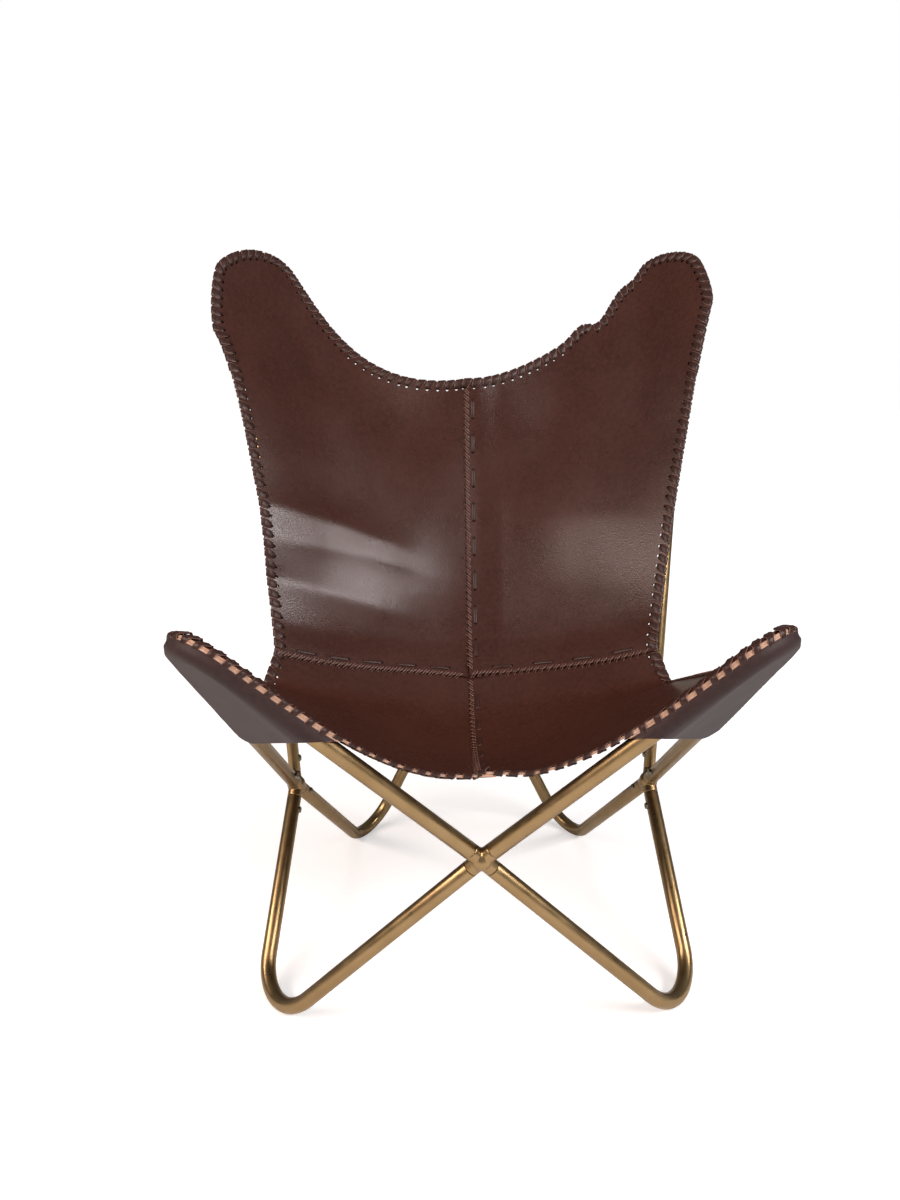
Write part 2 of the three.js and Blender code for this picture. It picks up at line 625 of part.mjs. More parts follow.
// Origin at the middle of the footprint of the whole chair, on the floor.
const box = new THREE.Box3().setFromObject(part);
const shift = -(box.min.y + box.max.y) / 2;
part.children.forEach((mesh) => mesh.geometry.translate(0, shift, 0));

export default part;
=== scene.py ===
"""Butterfly sling chair: a knock-down frame of satin gold tube with a laced sling of dark brown leather."""
import math
from types import SimpleNamespace

import bmesh
import bpy
import numpy as np
from mathutils import Matrix, Vector


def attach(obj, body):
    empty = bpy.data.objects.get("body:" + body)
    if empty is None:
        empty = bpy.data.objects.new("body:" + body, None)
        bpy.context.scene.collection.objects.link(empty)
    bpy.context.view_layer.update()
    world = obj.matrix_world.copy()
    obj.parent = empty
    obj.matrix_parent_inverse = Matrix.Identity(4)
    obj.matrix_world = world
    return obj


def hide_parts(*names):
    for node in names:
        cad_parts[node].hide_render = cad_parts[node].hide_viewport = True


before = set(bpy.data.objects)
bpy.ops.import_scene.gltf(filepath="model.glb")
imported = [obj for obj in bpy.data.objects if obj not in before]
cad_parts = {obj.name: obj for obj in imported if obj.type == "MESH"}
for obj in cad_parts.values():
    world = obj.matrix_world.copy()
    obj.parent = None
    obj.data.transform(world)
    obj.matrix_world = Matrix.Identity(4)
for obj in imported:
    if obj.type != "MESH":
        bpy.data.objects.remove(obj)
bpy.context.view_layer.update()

# The origin lies on the floor, this far behind the front hub. Lengths are in metres.
ORIGIN_BEHIND_HUB = 0.28321
MM = 1000


def at(x, y, z):
    return np.array((x, y - ORIGIN_BEHIND_HUB, z))


def vec(x, y, z):
    return np.array((x, y, z), float)


# Frame: hub centres, and the corners where the two straight legs of each bent tube would meet.
FRONT_HUB = at(0, 0, 0.242)
SIDE_HUB = at(0.242, 0.295, 0.203)
FRONT_FOOT = at(0.271, 0.086, -0.040)
REAR_FOOT = at(0.174, 0.587, -0.033)
WING = at(0.311, -0.094, 0.540)
EAR = at(0.357, 0.650, 1.030)
TUBE_D = 0.019
EAR_TUBE_D = 0.016
WALL = 0.0015
WING_BEND_R = 0.042
EAR_BEND_R = 0.036
FLOOR_FLAT = 0.0008
HUB_BALL_R = 0.0125
HUB_REACH = 0.017
REAR_HUB_REACH = 0.024
SPIGOT_SHOWN = 0.012
TUBE_END_GAP = 0.0005
SCREW_FROM_END = 0.018
SCREW_HEAD_D = 0.009
SCREW_HEAD_H = 0.0026
SCREW_KEY = 0.0019
SCREW_SIDES = 12
TUBE_SIDES = 40
TUBE_LIP = 0.0004
BEND_STEPS = 26
BALL_SIDES = 32
BALL_RINGS = 20
SPIGOT_EASE = 0.0002
WELD_VOXEL = 0.0007

# Angles from which an edge stays sharp, in degrees.
TUBE_SHARP = 35
HUB_SHARP = 50
SCREW_SHARP = 30
HIDE_SHARP = 40
LACE_SHARP = 60

# Sling: outline points, and the handles of its edge curves.
FRONT_MID = at(0, -0.008, 0.340)
SEAM_MID = at(0, 0.421, 0.313)
TOP_MID = at(0, 0.585, 0.7455)
WAIST = at(0.252, 0.345, 0.376)
WING_MARGIN = 0.0135
WING_LIFT = 0.005
FRONT_HANDLE = vec(0.060, -0.002, -0.002)
SEAT_HANDLE = vec(0, 0.138, -0.065)
SEAM_HANDLE = vec(0.080, 0.008, 0.010)
SEAM_WAIST_HANDLE = vec(-0.092, 0.033, -0.038)
BACK_TOP_HANDLE = vec(0, -0.023, -0.149)
SEAM_WAY = vec(0, 0.7, 0.71)
SEAM_PULL_SEAT = 0.140
SEAM_PULL_BACK = 0.110
WAIST_WAY = vec(0.08, 0.75, 0.65)
WAIST_DROP = 0.055
WAIST_FLARE = 0.015
WAIST_TURN = 0.024
WAIST_EASE = 0.010
WAIST_PULL_BACK = 0.070
WING_PULL_FRONT = 0.180
WING_PULL_TIP = 0.020
WING_PULL_SIDE = 0.080

# How finely the sling is worked out, and how far its leather is eased.
CURVE_STEPS = 400
GRID = 121
RELAX_STEPS = 60
RELAX_SHARE = 0.6
NORMAL_STEPS = 8
WRAP_STEPS = 14
WRAP_EASE = 0.3
WRAP_REACH = 0.35
STRIP = 3
STRIP_LEAST = 0.006
RIM_STEPS = 12
RIM_POINTS = 900
LOOK_AHEAD = 0.004
LOOP_STEPS = 26
POCKET_STEPS = 200
EAR_LEAD = (0, 0.33, 0.66)
EAR_WRAP_STEPS = 9
EAR_TAUT_STEPS = 16
WING_WRAP_STEPS = 40
WING_STEPS = 40
MOUTH_CORNER_CUTS = 8
PUNCH_SIDES = 12
FAR_OFF = 9

# The sling hangs a little to its left on the frame, so each half has its own waist and ear.
# An ear's points are given along a leg of the ear loop from its corner, outward from it and above it.
EARS = {
    "right": SimpleNamespace(
        waist=vec(0.007, 0, -0.002), top_handle=vec(0.0966, 0, -0.006),
        side=(0.207, 0.0484, 0.0089), side_way=vec(0.0427, 0.0569, 0.1266), side_pull=(0.1251, 0.0181),
        corner=(0.1328, 0.0249, 0.009), corner_way=vec(-0.0095, 0.018, 0.0213), corner_pull=(0.0173, 0.0354),
        inner=(0.1383, 0.0128, 0.0129), inner_way=vec(0.0529, 0.001, 0.087), inner_pull=(0.0741, 0.024),
    ),
    "left": SimpleNamespace(
        waist=vec(0.020, 0, -0.001), top_handle=vec(0.1548, 0, -0.0203),
        side=(0.2491, 0.0601, 0.0072), side_way=vec(0.0563, 0.0642, 0.0694), side_pull=(0.1065, 0.018),
        corner=(0.1351, 0.0432, 0.0086), corner_way=vec(-0.0158, 0.0177, 0.0188), corner_pull=(0.0175, 0.0532),
        inner=(0.1493, 0.0223, 0.0135), inner_way=vec(0.0547, -0.0006, 0.0847), inner_pull=(0.0952, 0.0469),
    ),
}

# Where the right top edge has been creased: places across, and rises of the edge.
TOP_NOTCH = {"left": (), "right": ((0.180, 0.008), (0.213, -0.009), (0.246, 0.008))}
NOTCH_W = 0.016
NOTCH_FADE = 6

# Folds of the back in each half: ends of the crest as seen from the front, widths below and above, height.
FOLDS = {
    "left": (
        ((0.100, 0.492), (0.319, 0.585), 0.0305, 0.0290, 0.0056),
        ((0.055, 0.457), (0.272, 0.524), 0.0280, 0.0670, 0.0054),
        ((0.098, 0.400), (0.320, 0.490), 0.0355, 0.0285, -0.0048),
    ),
    "right": (
        ((0.021, 0.5375), (0.262, 0.5525), 0.0810, 0.2000, 0.0055),
        ((0.096, 0.4545), (0.320, 0.4565), 0.1050, 0.1400, -0.0050),
        ((0.120, 0.660), (0.315, 0.690), 0.0900, 0.2000, -0.0050),
    ),
}
FOLDS_FROM = 0.12
FOLD_END = 0.25
FOLD_CREST = 0.2

# Leather, pockets and lace.
HIDE_T = 0.0026
HIDE_GAP = 0.0003
LAYER = HIDE_T + HIDE_GAP
LAP_FADE = (0.014, 0.055)
SEAM_FADE = 10
POCKET_T = 0.0022
POCKET_SLACK = 0.0008
POCKET_INSET = 0.0012
WING_MOUTH = 0.216
SIDE_MOUTH = 0.345
MOUTH_SPARE = 0.050
MOUTH_FALL = math.radians(20.9)
POCKET_SAG = {"left": 0.004, "right": 0.020}
MOUTH_CORNER_R = {"left": 0.035, "right": 0.055}
SAG_WIDTH = 0.060
SAG_FROM = 0.080
MOUTH_SAG_SHARE = 0.9
SOFT_STATIONS = (8, 27)
ROUND_DROP = 0.030
ROUND_RUN = 0.060
ROUND_SHARE = 0.6
EAR_MOUTH = (0.300, 0.320)
BEFORE_WAIST = 0.020
ABOVE_WAIST = 0.100
LACE_PITCH = 0.0145
LACE_W = (0.0118, 0.0118, 0.0118)
LACE_T = 0.0019
LACE_PLAY = 0.00008
LACE_INSET = 0.0130
FRONT_PITCH = 0.0165
FRONT_LACE_W = (0.0100, 0.0076, 0.0076)
FRONT_TOP_SHARE = 1.45
LACE_STRAY = 0.0009
LACE_FACE = 0.3
RAW_STRIP = 0.0026
HOLE_D = 0.0043
BLIND_HOLE = 0.0018
PUNCH_L = 0.020
SEAM_LAP = 0.012
CHAIN_PITCH = 0.0100
CHAIN_W = 0.0040
CHAIN_T = 0.0013
CHAIN_PLAY = 0.00005
STITCH_W = 0.0050
STITCH_PITCH = 0.054
STITCH_L = 0.027
STITCH_INSET = 0.0105
STITCH_MARGIN = 0.012
SEAM_MARGINS = {
    "across_left": (0.007, 0.007), "across_right": (0.007, 0.007), "back": (0.006, 0.008), "seat": (0.008, 0.008)
}

FLOOR_REACH = 30
FLOOR_GLOW_NEAR = 0.45
FLOOR_GLOW_FAR = 1.0
FLOOR_GLOW_RUN = (0.4, 3.5)

# Camera, as the photograph was taken.
CAMERA_AT = vec(-0.0385, -1.21016, 0.7275)
CAMERA_PITCH = math.radians(12.364)
CAMERA_YAW = math.radians(0.44)
CAMERA_ROLL = math.radians(0.45)
CAMERA_LENS = 28.5
CAMERA_SENSOR = 36


# Plain vector help.
def unit(v):
    v = np.asarray(v, float)
    return v / np.maximum(np.linalg.norm(v, axis=-1, keepdims=True), 1e-12)


def mirror(p):
    return np.asarray(p) * (-1, 1, 1)


HANDS = {"left": mirror, "right": np.asarray}


def facing(v, axis, sign):
    """A direction, turned round if it points the other way along an axis."""
    return v if v[axis] * sign > 0 else -v


def smooth_step(low, high, x):
    t = np.clip((x - low) / (high - low), 0, 1)
    return t * t * (3 - 2 * t)


def distances(line):
    """Distance of each point of a line from its start, along the line."""
    return np.concatenate([[0], np.cumsum(np.linalg.norm(np.diff(line, axis=0), axis=1))])


def sample(line, along, spots):
    return np.stack([np.interp(spots, along, line[:, k]) for k in range(3)], axis=1)


def evenly(line, count):
    """Points at even distances along a line."""
    along = distances(line)
    return sample(line, along, np.linspace(0, along[-1], count))


def joined(*lines):
    """One line of several, each of which starts where the last one ends."""
    return np.concatenate([lines[0], *(line[1:] for line in lines[1:])])


def cubic(p0, p1, p2, p3, steps=CURVE_STEPS):
    t = np.linspace(0, 1, steps)[:, None]
    s = 1 - t
    return s**3 * p0 + 3 * s**2 * t * p1 + 3 * s * t**2 * p2 + t**3 * p3


def arc(start, leave, arrive, end):
    """Curve between two points, with the offsets of its handles from them."""
    return cubic(start, start + leave, end + arrive, end)


def around(grid):
    """Mean of the four neighbours of each inner point of a grid."""
    return (grid[:-2, 1:-1] + grid[2:, 1:-1] + grid[1:-1, :-2] + grid[1:-1, 2:]) / 4


def leg_out(leg, other):
    return -unit(other - leg * float(np.dot(other, leg)))


def bend(hub_a, corner, hub_b, radius):
    """Plane, centre, leg directions and outer sides of a tube bent once at a corner between two hubs."""
    a = unit(hub_a - corner)
    b = unit(hub_b - corner)
    half = math.acos(float(np.dot(a, b))) / 2
    bis = unit(a + b)
    return SimpleNamespace(
        a=a, b=b, half=half, bis=bis, across=unit(a - b), out_a=leg_out(a, b), out_b=leg_out(b, a), radius=radius,
        corner=corner, centre=corner + bis * radius / math.sin(half), run=radius / math.tan(half),
    )


def floor_radius(hub_a, corner, hub_b):
    """Bend radius that lets the bottom of a floor bend rest on the floor."""
    plain = bend(hub_a, corner, hub_b, 1.0)
    normal = unit(np.cross(plain.a, plain.b))
    fall = math.sqrt(1 - normal[2] ** 2)
    return (TUBE_D / 2 - FLOOR_FLAT - corner[2]) / (plain.bis[2] / math.sin(plain.half) - fall)


REAR_SHARE = REAR_FOOT[0] / (REAR_FOOT[0] + EAR[0])
REAR_HUB = mirror(REAR_FOOT) * (1 - REAR_SHARE) + EAR * REAR_SHARE


# Node and mesh help.
def plug(tree, made, links):
    """Sets the inputs of a node to values, or to the sockets that feed them."""
    for key, value in links.items():
        if isinstance(value, bpy.types.NodeSocket):
            tree.links.new(value, made.inputs[key])
        else:
            made.inputs[key].default_value = value


def node(tree, kind, links=None, **settings):
    made = tree.nodes.new(kind)
    for key, value in settings.items():
        setattr(made, key, value)
    plug(tree, made, links or {})
    return made


def mesh_object(name, verts, faces, *materials):
    mesh = bpy.data.meshes.new(name)
    mesh.from_pydata([tuple(map(float, v)) for v in verts], [], [tuple(map(int, f)) for f in faces])
    for material in materials:
        mesh.materials.append(material)
    made = bpy.data.objects.new(name, mesh)
    bpy.context.scene.collection.objects.link(made)
    return made


def from_bmesh(name, body, *materials):
    piece = mesh_object(name, [], [], *materials)
    body.to_mesh(piece.data)
    body.free()
    return piece


def lofted(name, rings):
    """Closed piece through rings of points."""
    count, sides = rings.shape[:2]
    faces = []
    for k in range(0, (count - 1) * sides, sides):
        for i in range(sides):
            j = (i + 1) % sides
            faces.append((k + i, k + j, k + sides + j, k + sides + i))
    faces += [range((count - 1) * sides, count * sides), reversed(range(sides))]
    return mesh_object(name, rings.reshape(-1, 3), faces)


def modify(piece, label, kind, **settings):
    made = piece.modifiers.new(label, kind)
    for key, value in settings.items():
        setattr(made, key, value)
    return made


def settle(piece):
    """Turns a piece and its modifiers into one plain mesh."""
    bpy.context.view_layer.update()
    graph = bpy.context.evaluated_depsgraph_get()
    mesh = bpy.data.meshes.new_from_object(piece.evaluated_get(graph))
    piece.modifiers.clear()
    old, piece.data = piece.data, mesh
    bpy.data.meshes.remove(old)
    mesh.name = piece.name
    return piece


def shade(piece, angle):
    piece.data.shade_smooth()
    piece.data.set_sharp_from_angle(angle=math.radians(angle))
    return piece


def keep(piece, slot, *nodes):
    """Fixes a finished piece to the chair, in the place of its plain CAD nodes."""
    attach(piece, "root")
    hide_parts(*nodes)


def discard(*pieces):
    for piece in pieces:
        mesh = piece.data
        bpy.data.objects.remove(piece)
        bpy.data.meshes.remove(mesh)


# Materials.
def new_material(name, links=None):
    material = bpy.data.materials.new(name)
    material.use_nodes = True
    tree = material.node_tree
    tree.nodes.clear()
    shader = node(tree, "ShaderNodeBsdfPrincipled", links)
    node(tree, "ShaderNodeOutputMaterial", {"Surface": shader.outputs["BSDF"]})
    place = tree.nodes.new("ShaderNodeTexCoord").outputs["Object"]
    return material, tree, shader, place


def noise(tree, place, scale, detail=3.0, roughness=0.55, stretch=None):
    if stretch:
        place = node(tree, "ShaderNodeMapping", {"Vector": place, "Scale": stretch}).outputs["Vector"]
    links = {"Vector": place, "Scale": scale, "Detail": detail, "Roughness": roughness}
    return node(tree, "ShaderNodeTexNoise", links).outputs["Fac"]


def ramp(tree, value, *stops):
    made = node(tree, "ShaderNodeValToRGB", {"Fac": value})
    for element, (position, colour) in zip(made.color_ramp.elements, stops):
        element.position = position
        element.color = (*colour, 1)
    return made.outputs["Color"]


def remap(tree, value, low, high, to_low, to_high):
    links = {"Value": value, "From Min": low, "From Max": high, "To Min": to_low, "To Max": to_high}
    return node(tree, "ShaderNodeMapRange", links).outputs["Result"]


def mix(tree, factor, first, second):
    return node(tree, "ShaderNodeMix", {0: factor, 6: first, 7: second}, data_type="RGBA").outputs[2]


def coat(tree, shader, tone, rough, *bumps):
    """Gives a shader its colour, its roughness and a stack of bumps, each of height, strength and depth."""
    under = {}
    for height, strength, depth in bumps:
        links = {"Height": height, "Strength": strength, "Distance": depth, **under}
        under = {"Normal": node(tree, "ShaderNodeBump", links).outputs["Normal"]}
    plug(tree, shader, {"Base Color": tone, "Roughness": rough, **under})


def gold_tube_material():
    material, tree, shader, place = new_material("satin_gold_tube", {"Metallic": 1.0})
    tone = ramp(tree, noise(tree, place, 22, 4), (0.3, (0.295, 0.197, 0.094)), (0.7, (0.355, 0.246, 0.122)))
    rough = remap(tree, noise(tree, place, 60, 5), 0.3, 0.7, 0.26, 0.38)
    coat(tree, shader, tone, rough, (noise(tree, place, 900, 2), 0.12, 0.0002))
    return material


def screw_material():
    material, tree, shader, place = new_material("darkened_screw_steel", {"Metallic": 1.0})
    wear = noise(tree, place, 700, 4)
    tone = ramp(tree, wear, (0.35, (0.10, 0.085, 0.06)), (0.75, (0.46, 0.43, 0.36)))
    rough = remap(tree, wear, 0.3, 0.7, 0.2, 0.4)
    coat(tree, shader, tone, rough, (noise(tree, place, 2500, 2), 0.15, 0.0001))
    return material


def hide_material(name, dark, light, rough, grain_depth, gloss):
    """Aniline leather: pebbled grain, soft creases and a mottled dye."""
    material, tree, shader, place = new_material(name, {"Specular IOR Level": gloss})
    mottle = noise(tree, place, 7, 5, 0.6)
    speck = remap(tree, noise(tree, place, 160, 3), 0.35, 0.75, 0.0, 0.35)
    tone = ramp(tree, mottle, (0.3, dark), (0.72, light))
    tone = mix(tree, speck, tone, (*(c * 1.7 for c in light), 1))
    patch = remap(tree, noise(tree, place, 14, 4), 0.3, 0.7, rough - 0.02, rough + 0.04)
    links = {"Vector": place, "Scale": 760.0}
    pebble = node(tree, "ShaderNodeTexVoronoi", links, feature="SMOOTH_F1").outputs["Distance"]
    crease = noise(tree, place, 45, 6, 0.6, (1.0, 1.0, 0.35))
    coat(tree, shader, tone, patch, (crease, 0.05, 0.0012), (pebble, grain_depth, 0.0005))
    return material


def cut_edge_material(name, dark, light, rough):
    """Cut edge of the hide: loose fibre, darker where the dye has gone in."""
    material, tree, shader, place = new_material(name)
    fibre = noise(tree, place, 420, 5, 0.7)
    coat(tree, shader, ramp(tree, fibre, (0.25, dark), (0.7, light)), rough, (fibre, 0.5, 0.0004))
    return material


def flesh_side_material():
    """Underside of the hide: matt, napped, grey brown."""
    material, tree, shader, place = new_material("hide_flesh_side", {"Sheen Weight": 0.12})
    nap = noise(tree, place, 320, 5, 0.7)
    cloud = ramp(tree, noise(tree, place, 18, 4), (0.3, (0.052, 0.036, 0.03)), (0.7, (0.085, 0.062, 0.053)))
    tone = mix(tree, 0.35, cloud, ramp(tree, nap, (0.3, (0.03, 0.02, 0.017)), (0.75, (0.13, 0.1, 0.085))))
    coat(tree, shader, tone, 0.75, (nap, 0.35, 0.0005))
    return material


def lace_material(name, cut_side_and_highlight_dark, cut_side_and_highlight_light, cut_side_and_highlight_from, cut_side_and_highlight_to):
    """Flat leather thong: dark waxed face; paler cut sides, partly the raw edge's own colour and partly a painted
    highlight along the thong's edges.
    """
    material, tree, shader, place = new_material(name, {"Specular IOR Level": 0.3})
    side = node(tree, "ShaderNodeAttribute", attribute_name="lace_side").outputs["Fac"]
    grain = noise(tree, place, 380, 4, 0.6)
    face = ramp(tree, grain, (0.3, (0.020, 0.0072, 0.0055)), (0.75, (0.046, 0.0175, 0.0130)))
    # Cut sides: raw-edge colour together with a painted highlight along the thong's edges.
    cut_side_and_highlight = ramp(tree, grain, (0.3, cut_side_and_highlight_dark), (0.75, cut_side_and_highlight_light))
    tone = mix(tree, remap(tree, side, cut_side_and_highlight_from, cut_side_and_highlight_to, 0.0, 1.0), face, cut_side_and_highlight)
    coat(tree, shader, tone, remap(tree, grain, 0.3, 0.7, 0.34, 0.50), (grain, 0.3, 0.0003))
    return material


def floor_material():
    """Pale floor that glows a little, more so far out, so that it runs into the white behind it."""
    material, tree, shader, place = new_material("pale_studio_floor", {"Emission Color": (1, 1, 1, 1)})
    tone = ramp(tree, noise(tree, place, 1.3, 3), (0.3, (0.84, 0.84, 0.84)), (0.7, (0.88, 0.88, 0.88)))
    reach = node(tree, "ShaderNodeVectorMath", {0: place}, operation="LENGTH").outputs["Value"]
    glow = remap(tree, reach, *FLOOR_GLOW_RUN, FLOOR_GLOW_NEAR, FLOOR_GLOW_FAR)
    seen = tree.nodes.new("ShaderNodeLightPath").outputs["Is Camera Ray"]
    glow = node(tree, "ShaderNodeMath", {0: glow, 1: seen}, operation="MULTIPLY").outputs[0]
    plug(tree, shader, {"Emission Strength": glow})
    coat(tree, shader, tone, 0.75, (noise(tree, place, 300, 2), 0.03, 0.0003))
    return material


GOLD = gold_tube_material()
SCREW_STEEL = screw_material()
HIDE = hide_material("dark_brown_hide", (0.0300, 0.0094, 0.0061), (0.0430, 0.0144, 0.0094), 0.27, 0.32, 0.35)
POCKET_HIDE = hide_material("pocket_hide", (0.0218, 0.0109, 0.0104), (0.0305, 0.0158, 0.0151), 0.56, 0.12, 0.24)
FLESH = flesh_side_material()
RAW_EDGE = cut_edge_material("raw_hide_edge", (0.262, 0.135, 0.088), (0.515, 0.325, 0.228), 0.8)
DYED_EDGE = cut_edge_material("dyed_hide_edge", (0.020, 0.008, 0.006), (0.055, 0.024, 0.018), 0.7)
# Lace whose paler cut sides carry a painted highlight as well as raw-edge colour.
LACE = lace_material("edge_lace", (0.13, 0.065, 0.048), (0.30, 0.175, 0.140), 0.5, 1.1)
SEAM_LACE = lace_material("seam_lace", (0.16, 0.078, 0.056), (0.38, 0.22, 0.17), 0.4, 0.8)


# Geometry Nodes trees.
def new_tree(name, sizes):
    """Starts a tree with a geometry input and named sizes; gives the sizes' identifiers and sockets too."""
    tree = bpy.data.node_groups.new(name, "GeometryNodeTree")

    def socket(label, way, kind):
        return tree.interface.new_socket(label, in_out=way, socket_type=f"NodeSocket{kind}").identifier

    socket("Geometry", "INPUT", "Geometry")
    ids = {label: socket(label, "INPUT", kind) for label, kind in sizes.items()}
    socket("Geometry", "OUTPUT", "Geometry")
    return tree, ids, tree.nodes.new("NodeGroupInput").outputs


def end_tree(tree, geometry, material):
    real = node(tree, "GeometryNodeRealizeInstances", {"Geometry": geometry}).outputs[0]
    coated = node(tree, "GeometryNodeSetMaterial", {"Geometry": real, "Material": material}).outputs[0]
    node(tree, "NodeGroupOutput", {0: coated})


def grow(piece, tree, ids, **sizes):
    """Runs a tree on a piece, with its sizes given by name."""
    modifier = modify(piece, tree.name, "NODES", node_group=tree)
    for label, value in sizes.items():
        modifier[ids[label.replace("_", " ")]] = value


def bent_tube_tree():
    """A gold tube that follows a line of corners, bent round each to a radius."""
    tree, ids, given = new_tree("bent_tube", {"Tube radius": "Float", "Bend radius": "Float"})
    line = node(tree, "GeometryNodeMeshToCurve", {"Mesh": given["Geometry"]}).outputs[0]
    links = {"Curve": line, "Count": BEND_STEPS, "Radius": given["Bend radius"]}
    bent = node(tree, "GeometryNodeFilletCurve", links, mode="POLY").outputs[0]
    links = {"Resolution": TUBE_SIDES, "Radius": given["Tube radius"]}
    ring = node(tree, "GeometryNodeCurvePrimitiveCircle", links, mode="RADIUS").outputs[0]
    skin = node(tree, "GeometryNodeCurveToMesh", {"Curve": bent, "Profile Curve": ring}).outputs[0]
    end_tree(tree, skin, GOLD)
    return tree, ids


STITCH_KINDS = ("plain", "rolled", "flat")
PLAIN, ROLLED, FLAT = range(3)


def row_tree():
    """Sets copies of up to three shapes on points, each turned to the point's way and up."""
    shapes = {f"Shape {kind}": "Object" for kind in STITCH_KINDS}
    sizes = {"Least": "Float", "Most": "Float", "Seed": "Int", "Finish": "Material"}
    tree, ids, given = new_tree("set_on_points", {**shapes, **sizes})

    def attribute(name, kind):
        links = {"Name": name}
        return node(tree, "GeometryNodeInputNamedAttribute", links, data_type=kind).outputs["Attribute"]

    links = {"Primary Axis": attribute("way", "FLOAT_VECTOR"), "Secondary Axis": attribute("up", "FLOAT_VECTOR")}
    turn = node(tree, "FunctionNodeAxesToRotation", links, primary_axis="X", secondary_axis="Z").outputs[0]
    links = {2: given["Least"], 3: given["Most"], "Seed": given["Seed"]}
    size = node(tree, "FunctionNodeRandomValue", links, data_type="FLOAT").outputs[1]
    all_copies = tree.nodes.new("GeometryNodeJoinGeometry")
    for number, label in enumerate(shapes):
        shape = node(tree, "GeometryNodeObjectInfo", {"Object": given[label]}).outputs["Geometry"]
        links = {2: attribute("kind", "INT"), 3: number}
        chosen = node(tree, "FunctionNodeCompare", links, data_type="INT", operation="EQUAL").outputs[0]
        links = {"Points": given["Geometry"], "Selection": chosen, "Instance": shape, "Rotation": turn, "Scale": size}
        copies = node(tree, "GeometryNodeInstanceOnPoints", links).outputs[0]
        tree.links.new(copies, all_copies.inputs[0])
    end_tree(tree, all_copies.outputs[0], given["Finish"])
    return tree, ids


TUBE_TREE, TUBE_IDS = bent_tube_tree()
ROW_TREE, ROW_IDS = row_tree()


def row(point, way, up, kind=PLAIN):
    """Places for copies: points with their ways and ups, and which shape each takes."""
    return point, way, up, np.broadcast_to(kind, len(point))


def set_row(name, places, shapes, finish, spread=0.0, seed=1):
    """A piece made of copies of small shapes, which differ a little in size."""
    point, way, up, kind = places
    piece = mesh_object(name, point, [])
    for label, values in (("way", way), ("up", up)):
        attribute = piece.data.attributes.new(label, "FLOAT_VECTOR", "POINT")
        attribute.data.foreach_set("vector", np.ascontiguousarray(values, np.float32).ravel())
    kinds = piece.data.attributes.new("kind", "INT", "POINT")
    kinds.data.foreach_set("value", np.array(kind, np.int32))
    given = {f"Shape_{label}": shape for label, shape in zip(STITCH_KINDS, shapes)}
    grow(piece, ROW_TREE, ROW_IDS, Least=1 - spread, Most=1 + spread, Seed=seed, Finish=finish, **given)
    return settle(piece)


# Frame pieces.
HUBS = {
    name: SimpleNamespace(at=place, reach=reach, look=look, arms=[])
    for name, place, reach, look in (
        ("front", FRONT_HUB, HUB_REACH, vec(0, 1, 0)),
        ("rear", REAR_HUB, REAR_HUB_REACH, vec(0, -1, 0)),
        ("right", SIDE_HUB, HUB_REACH, vec(-1, 0, 0)),
        ("left", mirror(SIDE_HUB), HUB_REACH, vec(1, 0, 0)),
    )
}
screw_seats = []
screw_nodes = []


def build_tube(name, hub_name, corner, side_name, radius, diameter):
    """Bent tube between two hubs, pressed flat where it stands on the floor; notes where its screws sit."""
    path = bend(HUBS[hub_name].at, corner, HUBS[side_name].at, radius)
    ends = []
    for label, leg in ((hub_name, path.a), (side_name, path.b)):
        hub = HUBS[label]
        way = -leg
        out = unit(hub.look - way * float(np.dot(hub.look, way)))
        hub.arms.append((way, diameter))
        ends.append(hub.at + way * (hub.reach + TUBE_END_GAP))
        screw_seats.append((hub.at + way * (hub.reach + SCREW_FROM_END) + out * diameter / 2, way, out))
        screw_nodes.append(f"screw_{label}_hub_{name}")
    piece = mesh_object(f"bent_{name}", [ends[0], corner, ends[1]], [])
    piece.data.edges.add(2)
    piece.data.edges.foreach_set("vertices", [0, 1, 1, 2])
    grow(piece, TUBE_TREE, TUBE_IDS, Tube_radius=diameter / 2, Bend_radius=radius)
    modify(piece, "wall", "SOLIDIFY", thickness=WALL, offset=-1)
    modify(piece, "lip", "BEVEL", width=TUBE_LIP, segments=2, limit_method="ANGLE", angle_limit=math.radians(60))
    settle(piece)
    for vertex in piece.data.vertices:
        vertex.co.z = max(vertex.co.z, 0.0)
    keep(shade(piece, TUBE_SHARP), "gold_tube", f"tube_{name}")


def build_hub(name):
    """Ball and four stubs, run together as the weld and the plating leave them."""
    hub = HUBS[name]
    body = bmesh.new()
    middle = Matrix.Translation(Vector(hub.at))
    bmesh.ops.create_uvsphere(body, u_segments=BALL_SIDES, v_segments=BALL_RINGS, radius=HUB_BALL_R, matrix=middle)
    for way, diameter in hub.arms:
        turn = Vector(way).to_track_quat("Z", "Y").to_matrix().to_4x4()
        stub = (hub.reach, diameter / 2)
        spigot = (hub.reach + SPIGOT_SHOWN, diameter / 2 - WALL - SPIGOT_EASE)
        for length, r in (stub, spigot):
            place = Matrix.Translation(Vector(hub.at + way * length / 2)) @ turn
            bmesh.ops.create_cone(
                body, cap_ends=True, segments=TUBE_SIDES, radius1=r, radius2=r, depth=length, matrix=place
            )
    piece = from_bmesh(f"{name}_hub", body, GOLD)
    modify(piece, "weld", "REMESH", mode="VOXEL", voxel_size=WELD_VOXEL)
    modify(piece, "soften", "SMOOTH", factor=0.5, iterations=5)
    keep(shade(settle(piece), HUB_SHARP), "gold_tube", f"hub_{name}")


